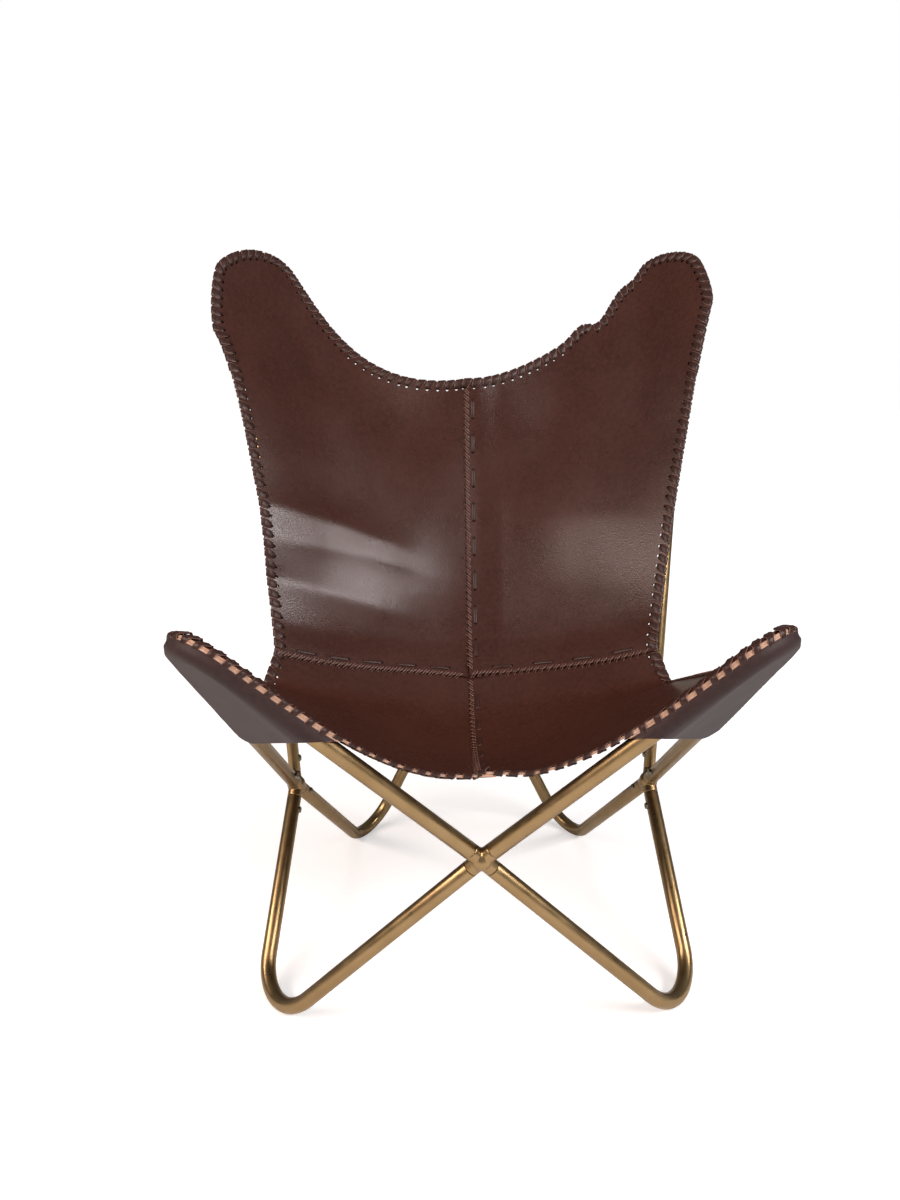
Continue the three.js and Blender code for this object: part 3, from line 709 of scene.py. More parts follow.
def screw_shape():
    """Button-head screw with a hexagon socket, its seat at the origin and its axis along z."""
    r = SCREW_HEAD_D / 2
    h = SCREW_HEAD_H
    turn = 2 * math.pi * np.arange(SCREW_SIDES) / SCREW_SIDES
    hexagon = SCREW_KEY * np.where(np.arange(SCREW_SIDES) % 2 == 0, 1, math.cos(math.pi / 6))
    profile = [(r * 0.98, -0.0012), (r, h * 0.35), (r * 0.93, h * 0.66), (r * 0.74, h * 0.92), (r * 0.56, h)]
    profile += [(hexagon, h * 0.97), (hexagon, h * 0.4)]
    rings = [np.stack([reach * np.cos(turn), reach * np.sin(turn), turn * 0 + z], axis=1) for reach, z in profile]
    return shade(lofted("screw_shape", np.array(rings)), SCREW_SHARP)


BENDS = (
    ("front_leg", "front", FRONT_FOOT, floor_radius(FRONT_HUB, FRONT_FOOT, SIDE_HUB), TUBE_D),
    ("rear_leg", "rear", REAR_FOOT, floor_radius(REAR_HUB, REAR_FOOT, SIDE_HUB), TUBE_D),
    ("wing_loop", "front", WING, WING_BEND_R, TUBE_D),
    ("ear_loop", "rear", EAR, EAR_BEND_R, EAR_TUBE_D),
)
for hand, turn_over in HANDS.items():
    for label, hub_label, corner, radius, diameter in BENDS:
        build_tube(f"{label}_{hand}", hub_label, turn_over(corner), hand, radius, diameter)
for hub_label in HUBS:
    build_hub(hub_label)
button = screw_shape()
screws = set_row("tube_screws", row(*map(np.array, zip(*screw_seats))), [button], SCREW_STEEL)
discard(button)
keep(shade(screws, SCREW_SHARP), "screw_steel", *screw_nodes)


# Sling outline, in the right half.
wing = bend(FRONT_HUB, WING, SIDE_HUB, WING_BEND_R)
wing_up = facing(unit(np.cross(wing.across, wing.bis)), 2, 1)
ear = bend(REAR_HUB, EAR, SIDE_HUB, EAR_BEND_R)
ear_up = facing(unit(np.cross(ear.across, ear.bis)), 1, -1)


def over_wing(p, out):
    return p + out * WING_MARGIN + wing_up * WING_LIFT


def over_ear(place, leg, side):
    along, out, lift = place
    return EAR + leg * along + side * out + ear_up * lift


wing_front = over_wing(WING + wing.a * wing.run, wing.out_a)
wing_side = over_wing(WING + wing.b * wing.run, wing.out_b)
wing_tip = over_wing(wing.centre - wing.bis * WING_BEND_R, -wing.bis)
tip_way = -wing.across
waist_way = unit(WAIST_WAY)
seam_way = unit(SEAM_WAY)


def half_edges(hand):
    """Edge lines of one half of the sling, all given for the right side."""
    e = EARS[hand]
    waist = WAIST + e.waist
    low = waist - waist_way * WAIST_DROP + vec(WAIST_FLARE, 0, 0)
    to_wing, to_waist = unit(wing_side - low), unit(waist - low)
    turn_in, turn_out = low + to_wing * WAIST_TURN, low + to_waist * WAIST_TURN
    side = over_ear(e.side, ear.b, ear.out_b)
    corner = over_ear(e.corner, ear.b, ear.out_b)
    inner = over_ear(e.inner, ear.a, ear.out_a)
    side_way, corner_way, inner_way = unit(e.side_way), unit(e.corner_way), unit(e.inner_way)
    front = joined(
        arc(FRONT_MID, FRONT_HANDLE, wing.a * WING_PULL_FRONT, wing_front),
        arc(wing_front, -wing.a * WING_PULL_TIP, -tip_way * WING_PULL_TIP, wing_tip),
    )
    seat_side = joined(
        arc(wing_tip, tip_way * WING_PULL_TIP, -wing.b * WING_PULL_TIP, wing_side),
        arc(wing_side, wing.b * WING_PULL_SIDE, to_wing * WING_PULL_SIDE, turn_in),
        cubic(turn_in, low, low, turn_out),
        arc(turn_out, to_waist * WAIST_EASE, 0, waist),
    )
    seat_mid = arc(FRONT_MID, SEAT_HANDLE, -seam_way * SEAM_PULL_SEAT, SEAM_MID)
    seam = arc(SEAM_MID, SEAM_HANDLE, SEAM_WAIST_HANDLE, waist)
    back_mid = arc(SEAM_MID, seam_way * SEAM_PULL_BACK, BACK_TOP_HANDLE, TOP_MID)
    top = joined(
        arc(TOP_MID, e.top_handle, -inner_way * e.inner_pull[0], inner),
        arc(inner, inner_way * e.inner_pull[1], corner_way * e.corner_pull[1], corner),
    )
    back_side = joined(
        arc(waist, waist_way * WAIST_PULL_BACK, -side_way * e.side_pull[0], side),
        arc(side, side_way * e.side_pull[1], -corner_way * e.corner_pull[0], corner),
    )
    return [evenly(line, GRID) for line in (front, seat_side, seat_mid, seam, back_mid, top, back_side)]


def stretched(low, high, left, right):
    """Grid of points on the leather stretched between four edges, relaxed as taut hide is."""
    t = np.linspace(0, 1, GRID)
    u, v = np.meshgrid(t, t, indexing="ij")
    u, v = u[..., None], v[..., None]
    grid = (1 - v) * low[:, None] + v * high[:, None] + (1 - u) * left[None] + u * right[None]
    grid = grid - (1 - u) * (1 - v) * low[0] - u * (1 - v) * low[-1]
    grid = grid - (1 - u) * v * high[0] - u * v * high[-1]
    for _ in range(RELAX_STEPS):
        grid[1:-1, 1:-1] += RELAX_SHARE * (around(grid) - grid[1:-1, 1:-1])
    return grid


def grid_normals(grid):
    """Sitter-side normals; beside the rims, where the edges run together, they come from further in."""
    n = unit(np.cross(np.gradient(grid, axis=0), np.gradient(grid, axis=1)))
    lines = np.arange(GRID)
    n = n[np.clip(lines, 0, GRID - 1 - STRIP)][:, np.clip(lines, STRIP, GRID - 1 - STRIP)]
    for _ in range(NORMAL_STEPS):
        n = unit(n + 4 * around(np.pad(n, ((1, 1), (1, 1), (0, 0)), mode="edge")))
    return n


def fold(x, z, start, end, below, above, rise):
    """Height of a soft fold along a line across the back, with its widths below and above the crest."""
    (x0, z0), (x1, z1) = start, end
    length = math.hypot(x1 - x0, z1 - z0)
    along = ((x - x0) * (x1 - x0) + (z - z0) * (z1 - z0)) / length**2
    across = ((z - z0) * (x1 - x0) - (x - x0) * (z1 - z0)) / length
    ends = smooth_step(-FOLD_END, FOLD_END, along) * (1 - smooth_step(1 - FOLD_END, 1 + FOLD_END, along))
    width = np.where(across < 0, below, above)
    return rise * ends * np.exp(FOLD_CREST - np.sqrt((across / width) ** 2 + FOLD_CREST**2))


def buckled(hand, grid):
    """Back grid with the folds that the slack leather takes above the seam."""
    height = sum(fold(grid[..., 0], grid[..., 2], *sizes) for sizes in FOLDS[hand])
    height = height * smooth_step(0, FOLDS_FROM, np.linspace(0, 1, GRID))
    return grid + grid_normals(grid) * height[..., None]


def notched(hand, grid):
    """Back grid with the crease in its top edge, which dies out below it."""
    across = grid[:, -1, 0]
    rise = sum(rise * np.exp(-(((across - middle) / NOTCH_W) ** 2)) for middle, rise in TOP_NOTCH[hand])
    near_top = np.linspace(0, 1, GRID) ** NOTCH_FADE
    return grid + np.multiply.outer(rise * np.ones(GRID), near_top)[..., None] * vec(0, 0, 1)


# The right panels lie over the left ones down the middle, and the back panels over the seat panels.
def lap_height(distance):
    return 1 - smooth_step(*LAP_FADE, np.abs(distance))


def from_seam(grid):
    """Distance of each point of a back grid from the seam across, along its own line."""
    steps = np.linalg.norm(np.diff(grid, axis=1), axis=2)
    return np.concatenate([np.zeros((GRID, 1)), np.cumsum(steps, axis=1)], axis=1)


def raised(grid, normals, height):
    return grid + normals * (LAYER * height)[..., None]


def off_tube(points, path, clear, up):
    """Points lifted clear of a bent tube, away from the nearest place on its axis."""
    ways = []
    for leg in (path.a, path.b):
        run = np.maximum((points - path.corner) @ leg, path.run)
        ways.append(points - (path.corner + run[..., None] * leg))
    flat = points - path.centre
    flat = flat - np.sum(flat * up, axis=-1, keepdims=True) * up
    round_ok = np.sum(unit(flat) * -path.bis, axis=-1) > math.cos(math.pi / 2 - path.half)
    ring = points - (path.centre + unit(flat) * path.radius)
    ways.append(np.where(round_ok[..., None], ring, 1.0))
    ways = np.stack(ways)
    nearest = np.argmin(np.linalg.norm(ways, axis=-1), axis=0)
    off = np.take_along_axis(ways, nearest[None, ..., None], axis=0)[0]
    gap = np.linalg.norm(off, axis=-1)
    return points + unit(off + up * 1e-4) * np.maximum(clear - gap, 0)[..., None]


def wrapped(seat):
    """Seat grid laid over the wing loop, with its rims held."""
    clear = TUBE_D / 2 + HIDE_T / 2 + HIDE_GAP
    for _ in range(WRAP_STEPS):
        seat[1:-1, 1:] = off_tube(seat[1:-1, 1:], wing, clear, wing_up)
        near = np.linalg.norm(seat[1:-1, 1:-1] - WING, axis=-1) < WRAP_REACH
        seat[1:-1, 1:-1] += np.where(near[..., None], WRAP_EASE * (around(seat) - seat[1:-1, 1:-1]), 0)
    seat[1:-1, 1:-1] = off_tube(seat[1:-1, 1:-1], wing, clear, wing_up)
    return seat


def half_sling(hand):
    """Grids and normals of the seat and the back in one half, given for the right side."""
    front, seat_side, seat_mid, seam, back_mid, top, back_side = half_edges(hand)
    seat = wrapped(stretched(front, seam, seat_mid, seat_side))
    back = notched(hand, buckled(hand, stretched(seam, top, back_mid, back_side)))
    seat_n = grid_normals(seat)
    back_n = grid_normals(back)
    seam_n = unit(seat_n[:, -1] + back_n[:, 0])
    for step in range(SEAM_FADE):
        share = (1 - step / SEAM_FADE) ** 2
        seat_n[:, -1 - step] = unit(seat_n[:, -1 - step] * (1 - share) + seam_n * share)
        back_n[:, step] = unit(back_n[:, step] * (1 - share) + seam_n * share)
    seat_n[0, :, 0] = 0
    back_n[0, :, 0] = 0
    return SimpleNamespace(
        seat=seat, seat_n=unit(seat_n), back=back, back_n=unit(back_n), back_lap=lap_height(from_seam(back)),
        seat_mid_lap=lap_height(seat[..., 0]), back_mid_lap=lap_height(back[..., 0]),
    )


R = half_sling("right")
L = half_sling("left")
seat_left, seat_left_n = mirror(L.seat), mirror(L.seat_n)
back_left, back_left_n = mirror(raised(L.back, L.back_n, L.back_lap)), mirror(L.back_n)
seat_right = raised(R.seat, R.seat_n, R.seat_mid_lap)
back_right = raised(R.back, R.back_n, R.back_lap + R.back_mid_lap + R.back_lap * R.back_mid_lap)
UNDER_COLUMNS = int(np.searchsorted(R.seat[:, GRID // 2, 0], SEAM_LAP))
UNDER_ROWS = int(np.searchsorted(from_seam(R.back)[0], SEAM_LAP))


def sheet_piece(name, grid, thickness, materials, flip, cuts=(), raw_strip=False):
    """Closed leather sheet from a grid of points, the first material on its outer face; gives its area too."""
    m, n = grid.shape[:2]
    index = np.arange(m * n).reshape(m, n)
    quads = np.stack([index[:-1, :-1], index[1:, :-1], index[1:, 1:], index[:-1, 1:]], axis=-1).reshape(-1, 4)
    quads = quads[:, ::-1] if flip else quads
    piece = mesh_object(name, grid.reshape(-1, 3), quads, *materials)
    if raw_strip:
        first = np.zeros((m - 1, n - 1), np.int32)
        first[:, 0] = len(materials) - 1
        piece.data.polygons.foreach_set("material_index", first.ravel())
    if len(cuts):
        flat = bmesh.new()
        flat.from_mesh(piece.data)
        for point, way in cuts:
            whole = flat.verts[:] + flat.edges[:] + flat.faces[:]
            plane = {"plane_co": Vector(point), "plane_no": Vector(way)}
            bmesh.ops.bisect_plane(flat, geom=whole, clear_outer=True, **plane)
        flat.to_mesh(piece.data)
        flat.free()
    area = sum(face.area for face in piece.data.polygons)
    modify(piece, "hide", "SOLIDIFY", thickness=thickness, offset=0, material_offset=1, material_offset_rim=2)
    return settle(piece), area


def pierce(piece, cutter):
    modify(piece, "holes", "BOOLEAN", operation="DIFFERENCE", solver="MANIFOLD", object=cutter)
    settle(piece)


# Lace runs: stations along the rims and seams, each with its way, its outward side and its up.
EDGES = {
    "low": ((slice(None), 0), (slice(None), STRIP)),
    "high": ((slice(None), -1), (slice(None), -1 - STRIP)),
    "mid": (0, STRIP),
    "side": (-1, -1 - STRIP),
}


def edge(grid, normals, which):
    """An edge of a grid, the normals there, and the line of leather a little inside it."""
    rim, inner = EDGES[which]
    return grid[rim], normals[rim], grid[inner]


def run_of(points, normals, inner):
    """A rim with its normals, set by the strip of leather beside it; way, out and up are right-handed."""
    way = unit(np.gradient(points, axis=0))
    out = unit(np.cross(normals, way))
    strip = points - inner
    if np.median(np.sum(out * strip, axis=1)) < 0:
        return run_of(points[::-1], normals[::-1], inner[::-1])
    strip = strip - way * np.sum(strip * way, axis=1, keepdims=True)
    sound = (np.linalg.norm(strip, axis=1) > STRIP_LEAST) & (np.sum(out * strip, axis=1) > 0)
    up = np.where(sound[:, None], np.cross(way, unit(strip)), normals)
    for _ in range(RIM_STEPS):
        up[1:-1] = unit(up[:-2] + 2 * up[1:-1] + up[2:])
    along = distances(points)
    return SimpleNamespace(points=points, normals=up, along=along, length=along[-1])


def stations(run, spots):
    near = (np.clip(spots + step, 0, run.length) for step in (LOOK_AHEAD, -LOOK_AHEAD))
    ahead, behind = (sample(run.points, run.along, s) for s in near)
    way = unit(ahead - behind)
    up = sample(run.normals, run.along, spots)
    up = unit(up - way * np.sum(up * way, axis=1, keepdims=True))
    return SimpleNamespace(point=sample(run.points, run.along, spots), way=way, up=up, out=np.cross(up, way))


def even(run, pitch, start=0.0, stop=0.0):
    count = max(int(round((run.length - start - stop) / pitch)), 1)
    real = (run.length - start - stop) / count
    return start + real * (np.arange(count) + 0.5)


def strap_shape(name, stops, width, thickness, face=0.36, pale_side_and_highlight=1.0):
    """Short piece of flat thong through stops: a point in mm, the side that it shows there, its share of width."""
    points, sides, share = np.split(np.array(stops, float), (3, 6), axis=1)
    points = points / MM
    sides = unit(sides)
    tangent = unit(np.gradient(points, axis=0))
    across = unit(np.cross(sides, tangent))
    sides = np.cross(tangent, across)
    profile = ((-0.5, 0), (-face, 0.5), (face, 0.5), (0.5, 0), (face, -0.5), (-face, -0.5))
    across = across * width * share
    piece = lofted(name, np.stack([points + across * w + sides * t * thickness for w, t in profile], axis=1))
    # Side vertices take the pale value: raw cut-edge colour and a painted highlight along the thong's edges.
    cut_side_and_highlight = piece.data.attributes.new("lace_side", "FLOAT", "POINT")
    cut_side_and_highlight.data.foreach_set("value", np.tile([pale_side_and_highlight if t == 0 else LACE_FACE for _, t in profile], len(points)))
    shape = bmesh.new()
    shape.from_mesh(piece.data)
    bmesh.ops.recalc_face_normals(shape, faces=shape.faces)
    shape.to_mesh(piece.data)
    shape.free()
    return shade(piece, LACE_SHARP)


def whip_stops(below, pitch, top):
    """Path of one whip stitch: out of its hole, slantwise over the rim and back to the next hole.

    The thong is drawn narrow into the holes, and lies this many times as wide on top as at the rim.
    """
    h = HIDE_T * MM / 2
    c = LACE_T * MM / 2 + LACE_PLAY * MM
    d = LACE_INSET * MM
    p = pitch * MM
    over = [
        (0.0, -d + 0.9, h - 1.8, 0, -1, 0.1, 0.45),
        (p * 0.02, -d + 1.6, h + c * 0.7, 0, -0.7, 0.7, 0.55),
        (p * 0.11, -d + 3.6, h + c + 0.15, 0, 0, 1, 0.85 * top),
        (p * 0.37, -3.0, h + c, 0, 0, 1, top),
        (p * 0.45, -0.4, h + c * 0.75, 0, 0.5, 0.87, 1.0),
    ]
    under = {
        "plain": [
            (p * 0.50, c + 0.1, 0, 0, 1, 0, 1.0),
            (p * 0.55, -0.4, -h - c * 0.75, 0, 0.5, -0.87, 1.0),
            (p * 0.63, -3.0, -h - c, 0, 0, -1, 1.0),
            (p * 0.89, -d + 3.6, -h - c - 0.15, 0, 0, -1, 0.85),
            (p * 0.98, -d + 1.6, -h - c * 0.7, 0, -0.7, -0.7, 0.55),
            (p, -d + 0.9, -h + 1.2, 0, -1, -0.1, 0.45),
        ],
        "rolled": [
            (p * 0.51, c + 0.1, h * 0.2, 0, 1, 0, 1.0),
            (p * 0.55, c, -h - 1.4, 0, 1, 0, 1.0),
            (p * 0.60, c - 0.1, -h - 3.8, 0, 1, -0.1, 1.0),
            (p * 0.67, -0.5, -h - 6.8, 0, 0.95, -0.3, 0.9),
            (p * 0.71, -2.6, -h - 8.2, 0, 0.5, -0.8, 0.7),
        ],
        "flat": [
            (p * 0.51, c + 0.1, h * 0.2, 0, 1, 0, 1.0),
            (p * 0.55, c - 0.1, -h - 1.6, 0, 1, -0.2, 1.0),
            (p * 0.62, -1.2, -h - 3.6, 0, 0.3, -0.95, 1.0),
            (p * 0.80, -d + 4.8, -h - 5.4, 0, -0.25, -0.97, 0.9),
            (p * 0.93, -d + 2.6, -h - 5.6, 0, -0.3, -0.95, 0.6),
            (p * 0.98, -d + 1.2, -h - 3.8, 0, -0.9, -0.3, 0.45),
        ],
    }
    return over + under[below]


def seam_stops():
    """Path of one seam stitch: out of the upper panel, slantwise over its raw edge into the lower one."""
    h = HIDE_T * MM / 2
    c = CHAIN_T * MM / 2 + CHAIN_PLAY * MM
    step = LAYER * MM
    return [
        (0.0, -5.2, h - 1.4, 0, -1, 0.1, 1),
        (0.5, -4.6, h + c * 0.7, 0, -0.7, 0.7, 1),
        (1.8, -3.4, h + c, 0, 0, 1, 1),
        (5.0, -0.8, h + c, 0, 0, 1, 1),
        (6.0, 0.4, h + c * 0.4, 0, 0.6, 0.8, 1),
        (7.0, 1.3, h + c - step * 0.85, 0, 0.5, 0.87, 1),
        (8.4, 2.4, h + c - step, 0, 0, 1, 1),
        (9.4, 3.2, h - step - 1.4, 0, 0.9, 0.3, 1),
    ]


def running_stops():
    """Path of one running stitch, flat on the leather between two holes."""
    h = HIDE_T * MM / 2
    c = CHAIN_T * MM / 2 + CHAIN_PLAY * MM
    e = STITCH_L * MM / 2
    return [
        (-e, 0, h - 1.6, -0.9, 0, 0.3, 1),
        (-e + 0.5, 0, h + c * 0.6, -0.6, 0, 0.8, 1),
        (-e + 2.2, 0, h + c, 0, 0, 1, 1),
        (0, 0, h + c + 0.15, 0, 0, 1, 1),
        (e - 2.2, 0, h + c, 0, 0, 1, 1),
        (e - 0.5, 0, h + c * 0.6, 0.6, 0, 0.8, 1),
        (e, 0, h - 1.6, 0.9, 0, 0.3, 1),
    ]


def punch_shape():
    body = bmesh.new()
    r = HOLE_D / 2
    bmesh.ops.create_cone(body, cap_ends=True, segments=PUNCH_SIDES, radius1=r, radius2=r, depth=PUNCH_L)
    return from_bmesh("punch_shape", body)


def stitch_kind(points, on_side):
    """Which stitch a station takes: plain on one leather, or over the pocket that is laced on there."""
    p = np.where((True, False, False), np.abs(points), points)
    near_wing = p[:, 1] < WAIST[1] - BEFORE_WAIST
    w = np.where(on_side, (p - WING) @ wing.b < SIDE_MOUTH, (p - WING) @ wing.a < WING_MOUTH)
    e = np.where(on_side, (p - EAR) @ ear.b < EAR_MOUTH[1], (p - EAR) @ ear.a < EAR_MOUTH[0])
    on_ear = ~near_wing & e & (p[:, 2] > WAIST[2] + ABOVE_WAIST)
    kind = np.where(near_wing & w, ROLLED, PLAIN)
    return np.where(on_ear, FLAT if on_side else ROLLED, kind)


def both(left, right):
    return np.concatenate([left[:0:-1], right])


def run_over(join, first, second):
    return run_of(*map(join, first, second))


SEAT_L, BACK_L = (seat_left, seat_left_n), (back_left, back_left_n)
SEAT_R, BACK_R = (seat_right, R.seat_n), (back_right, R.back_n)
front_run = run_over(both, edge(*SEAT_L, "low"), edge(*SEAT_R, "low"))
top_run = run_over(both, edge(*BACK_L, "high"), edge(*BACK_R, "high"))
left_run = run_over(joined, edge(*SEAT_L, "side"), edge(*BACK_L, "side"))
right_run = run_over(joined, edge(*SEAT_R, "side"), edge(*BACK_R, "side"))
edge_runs = {
    "front": (front_run, False, FRONT_PITCH, FRONT_LACE_W, FRONT_TOP_SHARE),
    "top": (top_run, False, LACE_PITCH, LACE_W, 1.0),
    "left": (left_run, True, LACE_PITCH, LACE_W, 1.0),
    "right": (right_run, True, LACE_PITCH, LACE_W, 1.0),
}
uneven = np.random.default_rng(7)
holes = []
for label, (run, on_side, pitch, widths, top) in edge_runs.items():
    whips = [
        strap_shape(f"whip_{kind}", whip_stops(kind, pitch, top), width, LACE_T)
        for kind, width in zip(STITCH_KINDS, widths)
    ]
    by_hand = even(run, pitch)
    by_hand = by_hand + uneven.normal(0, LACE_STRAY, len(by_hand)).clip(-2 * LACE_STRAY, 2 * LACE_STRAY)
    s = stations(run, by_hand)
    hole_at = s.point - s.way * pitch / 2
    places = row(hole_at, s.way, s.up, stitch_kind(s.point, on_side))
    lacing = set_row(f"edge_whipping_{label}", places, whips, LACE, spread=0.04, seed=3)
    keep(shade(lacing, LACE_SHARP), "lace", f"edge_lace_{label}")
    holes.append((hole_at - s.out * LACE_INSET, s.way, s.up))
    discard(*whips)

# Seam lace: whipped raw edges, and a row of running stitches beside them.
seam_runs = {
    "across_left": edge(*BACK_L, "low"),
    "across_right": edge(*BACK_R, "low"),
    "back": edge(*BACK_R, "mid"),
    "seat": edge(*SEAT_R, "mid"),
}
seam_straps = [
    strap_shape("seam_strap", seam_stops(), CHAIN_W, CHAIN_T, face=0.24),
    strap_shape("running_strap", running_stops(), STITCH_W, CHAIN_T, pale_side_and_highlight=0.4),
]
for label, rim in seam_runs.items():
    run = run_of(*rim)
    start, stop = SEAM_MARGINS[label]
    s = stations(run, even(run, CHAIN_PITCH, start, stop))
    t = stations(run, even(run, STITCH_PITCH, start + STITCH_MARGIN, stop + STITCH_MARGIN))
    line = t.point - t.out * STITCH_INSET
    places = map(np.concatenate, zip(row(s.point, s.way, s.up), row(line, t.way, t.up, 1)))
    lacing = set_row(f"seam_lacing_{label}", places, seam_straps, SEAM_LACE, spread=0.02, seed=5)
    keep(shade(lacing, LACE_SHARP), "lace", f"seam_lace_{label}")
    for end in (-STITCH_L / 2, STITCH_L / 2):
        holes.append((line + t.way * end + t.up * (PUNCH_L / 2 + HIDE_T / 2 - BLIND_HOLE), t.way, t.up))
discard(*seam_straps)

punch = punch_shape()
hole_cutter = set_row("hole_cutter", row(*map(np.concatenate, zip(*holes))), [punch], DYED_EDGE)
discard(punch)

# Panels.
under = slice(1, UNDER_ROWS + 1)
beside = slice(UNDER_COLUMNS, 0, -1)
seat_left_strip = np.concatenate([R.seat[beside], R.back[beside, under]], axis=1)
seat_left_sheet = np.concatenate([seat_left, mirror(L.back)[:, under]], axis=1)
seat_right_lap = raised(R.back, R.back_n, R.back_mid_lap)[:, under]
panels = {
    ("seat", "left"): np.concatenate([seat_left_strip, seat_left_sheet]),
    ("seat", "right"): np.concatenate([seat_right, seat_right_lap], axis=1),
    ("back", "left"): np.concatenate([raised(R.back, R.back_n, 2 * R.back_lap)[beside], back_left]),
    ("back", "right"): back_right,
}


def spread_of(grid):
    """Flat width and length of a panel, from its longest lines each way."""
    wide = np.linalg.norm(np.diff(grid, axis=0), axis=2).sum(axis=0).max()
    long = np.linalg.norm(np.diff(grid, axis=1), axis=2).sum(axis=1).max()
    return float(wide), float(long)


for (part, hand), grid in panels.items():
    label = f"{part}_panel_{hand}"
    rim, loop = (RAW_EDGE, "wing") if part == "seat" else (DYED_EDGE, "ear")
    panel, area = sheet_piece(f"hide_{label}", grid, HIDE_T, (HIDE, FLESH, rim), hand == "left")
    pierce(panel, hole_cutter)
    keep(shade(panel, HIDE_SHARP), "sling_leather", label)
    spread_of(grid)


# Pockets.
def loop_line(path, mouth):
    """Stations round a loop, from the pocket's mouth on one leg over the bend to the mouth on the other."""
    down_a = np.linspace(mouth[0], path.run, LOOP_STEPS)[:-1]
    down_b = np.linspace(path.run, mouth[1], LOOP_STEPS)[1:]
    sweep = math.pi / 2 - path.half
    made = [(path.corner + path.a * d, path.a, path.out_a) for d in down_a]
    for ang in np.linspace(sweep, -sweep, LOOP_STEPS):
        out = -path.bis * math.cos(ang) + path.across * math.sin(ang)
        way = path.bis * math.sin(ang) + path.across * math.cos(ang)
        made.append((path.centre + out * path.radius, way, out))
    return made + [(path.corner + path.b * d, path.b, path.out_b) for d in down_b]


def pocket_clear(tube_d):
    return tube_d / 2 + POCKET_SLACK + POCKET_T / 2


def pocket_lines(rim, path, mouth, up, clear, steps):
    """For each station round a loop, the pocket's start at the rim, its wrap round the tube and its lip."""
    line = loop_line(path, mouth)
    first, last = (line[k][0] - up * clear for k in (0, -1))
    for i, (spot, way, out) in enumerate(line):
        off = rim - spot
        start = rim[int(np.argmin(np.abs(off @ way) + np.where(off @ out > 0, 0, FAR_OFF)))]
        x, y = float((start - spot) @ out), float((start - spot) @ up)
        turn = math.atan2(y, x) - math.acos(min(1.0, clear / math.hypot(x, y)))
        angles = np.linspace(turn, -math.pi / 2, steps)
        wrap = [spot + clear * (out * math.cos(g) + up * math.sin(g)) for g in angles]
        yield spot, way, start, wrap, first + (last - first) * (i + 0.5) / len(line)


def ear_pocket_grid(rim):
    """From the laced rim the pocket wraps the outside of the loop and lies taut between its legs."""
    rows = []
    clear = pocket_clear(EAR_TUBE_D)
    for _, _, start, wrap, lip in pocket_lines(rim, ear, EAR_MOUTH, ear_up, clear, EAR_WRAP_STEPS):
        lead = [start + (wrap[0] - start) * f for f in EAR_LEAD]
        taut = [wrap[-1] + (lip - wrap[-1]) * f for f in np.linspace(0, 1, EAR_TAUT_STEPS)[1:]]
        rows.append(lead + wrap + taut)
    return np.array(rows)


def wing_pocket_grid(rim, sag):
    """Pocket of a wing: tight round the bend and the side leg, softer along the front leg, taut to its mouth."""
    clear = pocket_clear(TUBE_D)
    mouth = (WING_MOUTH + MOUTH_SPARE, SIDE_MOUTH + MOUTH_SPARE)
    lines = pocket_lines(rim, wing, mouth, wing_up, clear, WING_WRAP_STEPS)
    rows = []
    for i, (spot, way, start, wrap, lip) in enumerate(lines):
        tight = evenly(np.array([start, *wrap, lip]), POCKET_STEPS)
        taut = lip - wrap[-1]
        lead = wrap[-1] + unit(taut) * min(ROUND_RUN, float(np.linalg.norm(taut)) * ROUND_SHARE)
        soft = cubic(start, start - wing_up * ROUND_DROP, lead, lip, POCKET_STEPS)
        off = soft - spot
        off = off - (off @ way)[:, None] * way
        soft = soft + unit(off) * np.maximum(clear - np.linalg.norm(off, axis=1), 0)[:, None]
        share = 1 - smooth_step(*SOFT_STATIONS, i)
        curve = tight * (1 - share) + evenly(soft, POCKET_STEPS) * share
        along = distances(curve)
        spots = np.concatenate([[0], np.linspace(RAW_STRIP, along[-1], WING_STEPS)])
        rows.append(sample(curve, along, spots))
    grid = np.array(rows)
    down_leg = smooth_step(SAG_FROM, SIDE_MOUTH, (grid - WING) @ wing.b)
    beside_leg = np.exp(np.minimum((grid - WING) @ wing.out_b, 0) / SAG_WIDTH)
    return grid + wing.out_b * (sag * down_leg * beside_leg)[..., None]


def mouth_cuts(sag, corner_r):
    """Planes of a wing pocket's mouth, level across and falling to the back, and of its rounded outer corner."""
    fall = vec(0, math.cos(MOUTH_FALL), -math.sin(MOUTH_FALL))
    down = vec(0, -math.sin(MOUTH_FALL), -math.cos(MOUTH_FALL))
    out = facing(unit(np.cross(fall, wing.b)), 0, 1)
    mouth = float(down @ (WING + wing.a * WING_MOUTH))
    side = float(out @ WING) + TUBE_D / 2 + POCKET_SLACK + POCKET_T + sag * MOUTH_SAG_SHARE
    lean = np.array([[1, float(down @ out)], [float(down @ out), 1]])
    reach = np.linalg.solve(lean, [mouth - corner_r, side - corner_r])
    middle = reach[0] * down + reach[1] * out
    ways = [unit(down * (1 - share) + out * share) for share in np.linspace(0.1, 0.9, MOUTH_CORNER_CUTS)]
    return [(down * mouth, down)] + [(middle + way * corner_r, way) for way in ways]


def laid_flat(pocket, turn_over):
    """Flat width and length of a wing pocket: its spread in the loop's plane, with the turn round the tube."""
    corners = turn_over(np.array([vertex.co for vertex in pocket.data.vertices]))
    turn = math.pi * TUBE_D / 2
    return tuple(float(np.ptp(corners @ axis)) + turn for axis in (wing.across, wing.bis))


def rim_under(grid, normals, edges, below):
    """The line where a pocket starts, just inside the rim and this far below the panel's middle."""
    lines = []
    for which in edges:
        run = run_of(*edge(grid, normals, which))
        s = stations(run, np.linspace(0, run.length, RIM_POINTS))
        lines.append(s.point - s.out * POCKET_INSET - s.up * below)
    return np.concatenate(lines)


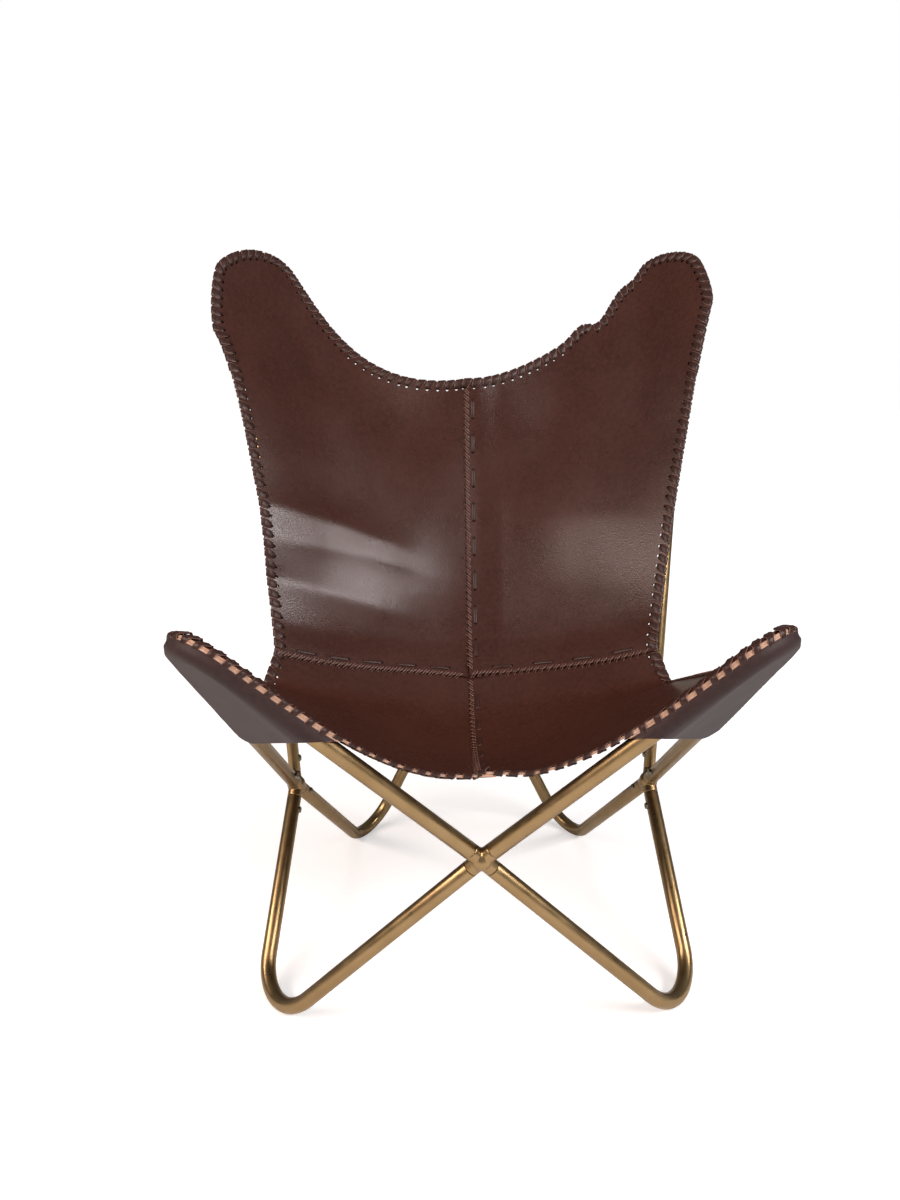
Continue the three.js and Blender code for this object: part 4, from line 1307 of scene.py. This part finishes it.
BUTTED = HIDE_T / 2 + HIDE_GAP
for hand, half in (("left", L), ("right", R)):
    turn_over = HANDS[hand]
    wing_rim = rim_under(half.seat, half.seat_n, ("low", "side"), BUTTED)
    ear_rim = rim_under(half.back, half.back_n, ("high", "side"), BUTTED + POCKET_T / 2)
    grids = {"wing": wing_pocket_grid(wing_rim, POCKET_SAG[hand]), "ear": ear_pocket_grid(ear_rim)}
    for loop, grid in grids.items():
        label = f"{loop}_pocket_{hand}"
        on_wing = loop == "wing"
        planes = mouth_cuts(POCKET_SAG[hand], MOUTH_CORNER_R[hand]) if on_wing else ()
        cuts = [(turn_over(point), turn_over(way)) for point, way in planes]
        finishes = (POCKET_HIDE, FLESH, RAW_EDGE if on_wing else DYED_EDGE)
        flip = (hand == "left") != on_wing
        pocket, area = sheet_piece(f"hide_{label}", turn_over(grid), POCKET_T, finishes, flip, cuts, on_wing)
        if not on_wing:
            pierce(pocket, hole_cutter)
        keep(shade(pocket, HIDE_SHARP), "pocket_leather", label)
        flat = laid_flat(pocket, turn_over) if on_wing else spread_of(grid)
discard(hole_cutter)


# Floor, light and camera.
corners = [(x * FLOOR_REACH, y * FLOOR_REACH, 0) for x, y in ((-1, -1), (1, -1), (1, 1), (-1, 1))]
floor = mesh_object("studio_floor", corners, [(0, 1, 2, 3)], floor_material())


def area_light(name, where, aim, size, power, colour=(1, 1, 1)):
    lamp = bpy.data.lights.new(name, "AREA")
    lamp.shape = "RECTANGLE"
    lamp.size, lamp.size_y = size
    lamp.energy = power
    lamp.color = colour
    made = bpy.data.objects.new(name, lamp)
    made.location = where
    made.rotation_euler = (Vector(aim) - Vector(where)).to_track_quat("-Z", "Y").to_euler()
    bpy.context.scene.collection.objects.link(made)
    return made


area_light("soft_key", (1.744, -1.420, 1.619), (0, 0.15, 0.5), (1.9, 0.24), 56, (1.0, 0.94, 0.93))
area_light("soft_fill", (-1.800, -1.355, 1.619), (0, 0.15, 0.5), (2.4, 0.40), 58, (1.0, 0.82, 0.73))
soft_top = area_light("soft_top", (0, -0.4, 2.8), (0, 0.1, 0.3), (2.4, 2.4), 36)
soft_top.visible_glossy = False

world = bpy.data.worlds.new("white_studio")
bpy.context.scene.world = world
world.use_nodes = True
sky = world.node_tree
sky.nodes.clear()
glow = node(sky, "ShaderNodeBackground", {"Color": (0.5, 0.5, 0.5, 1), "Strength": 0.3}).outputs[0]
white = node(sky, "ShaderNodeBackground", {"Color": (1, 1, 1, 1), "Strength": 1.0}).outputs[0]
seen = node(sky, "ShaderNodeLightPath").outputs["Is Camera Ray"]
sky_mix = node(sky, "ShaderNodeMixShader", {0: seen, 1: glow, 2: white}).outputs[0]
node(sky, "ShaderNodeOutputWorld", {0: sky_mix})

ahead = vec(math.sin(CAMERA_YAW), math.cos(CAMERA_YAW), 0)
level = vec(math.cos(CAMERA_YAW), -math.sin(CAMERA_YAW), 0)
forward = ahead * math.cos(CAMERA_PITCH) - vec(0, 0, math.sin(CAMERA_PITCH))
down = np.cross(forward, level)
right = math.cos(CAMERA_ROLL) * level + math.sin(CAMERA_ROLL) * down
down = -math.sin(CAMERA_ROLL) * level + math.cos(CAMERA_ROLL) * down
camera_data = bpy.data.cameras.new("photo_camera")
camera_data.lens = CAMERA_LENS
camera_data.sensor_width = CAMERA_SENSOR
camera = bpy.data.objects.new("photo_camera", camera_data)
camera.matrix_world = Matrix([*np.column_stack([right, -down, -forward, CAMERA_AT]).tolist(), (0, 0, 0, 1)])
bpy.context.scene.collection.objects.link(camera)
bpy.context.scene.camera = camera
bpy.context.scene.view_settings.view_transform = "Standard"
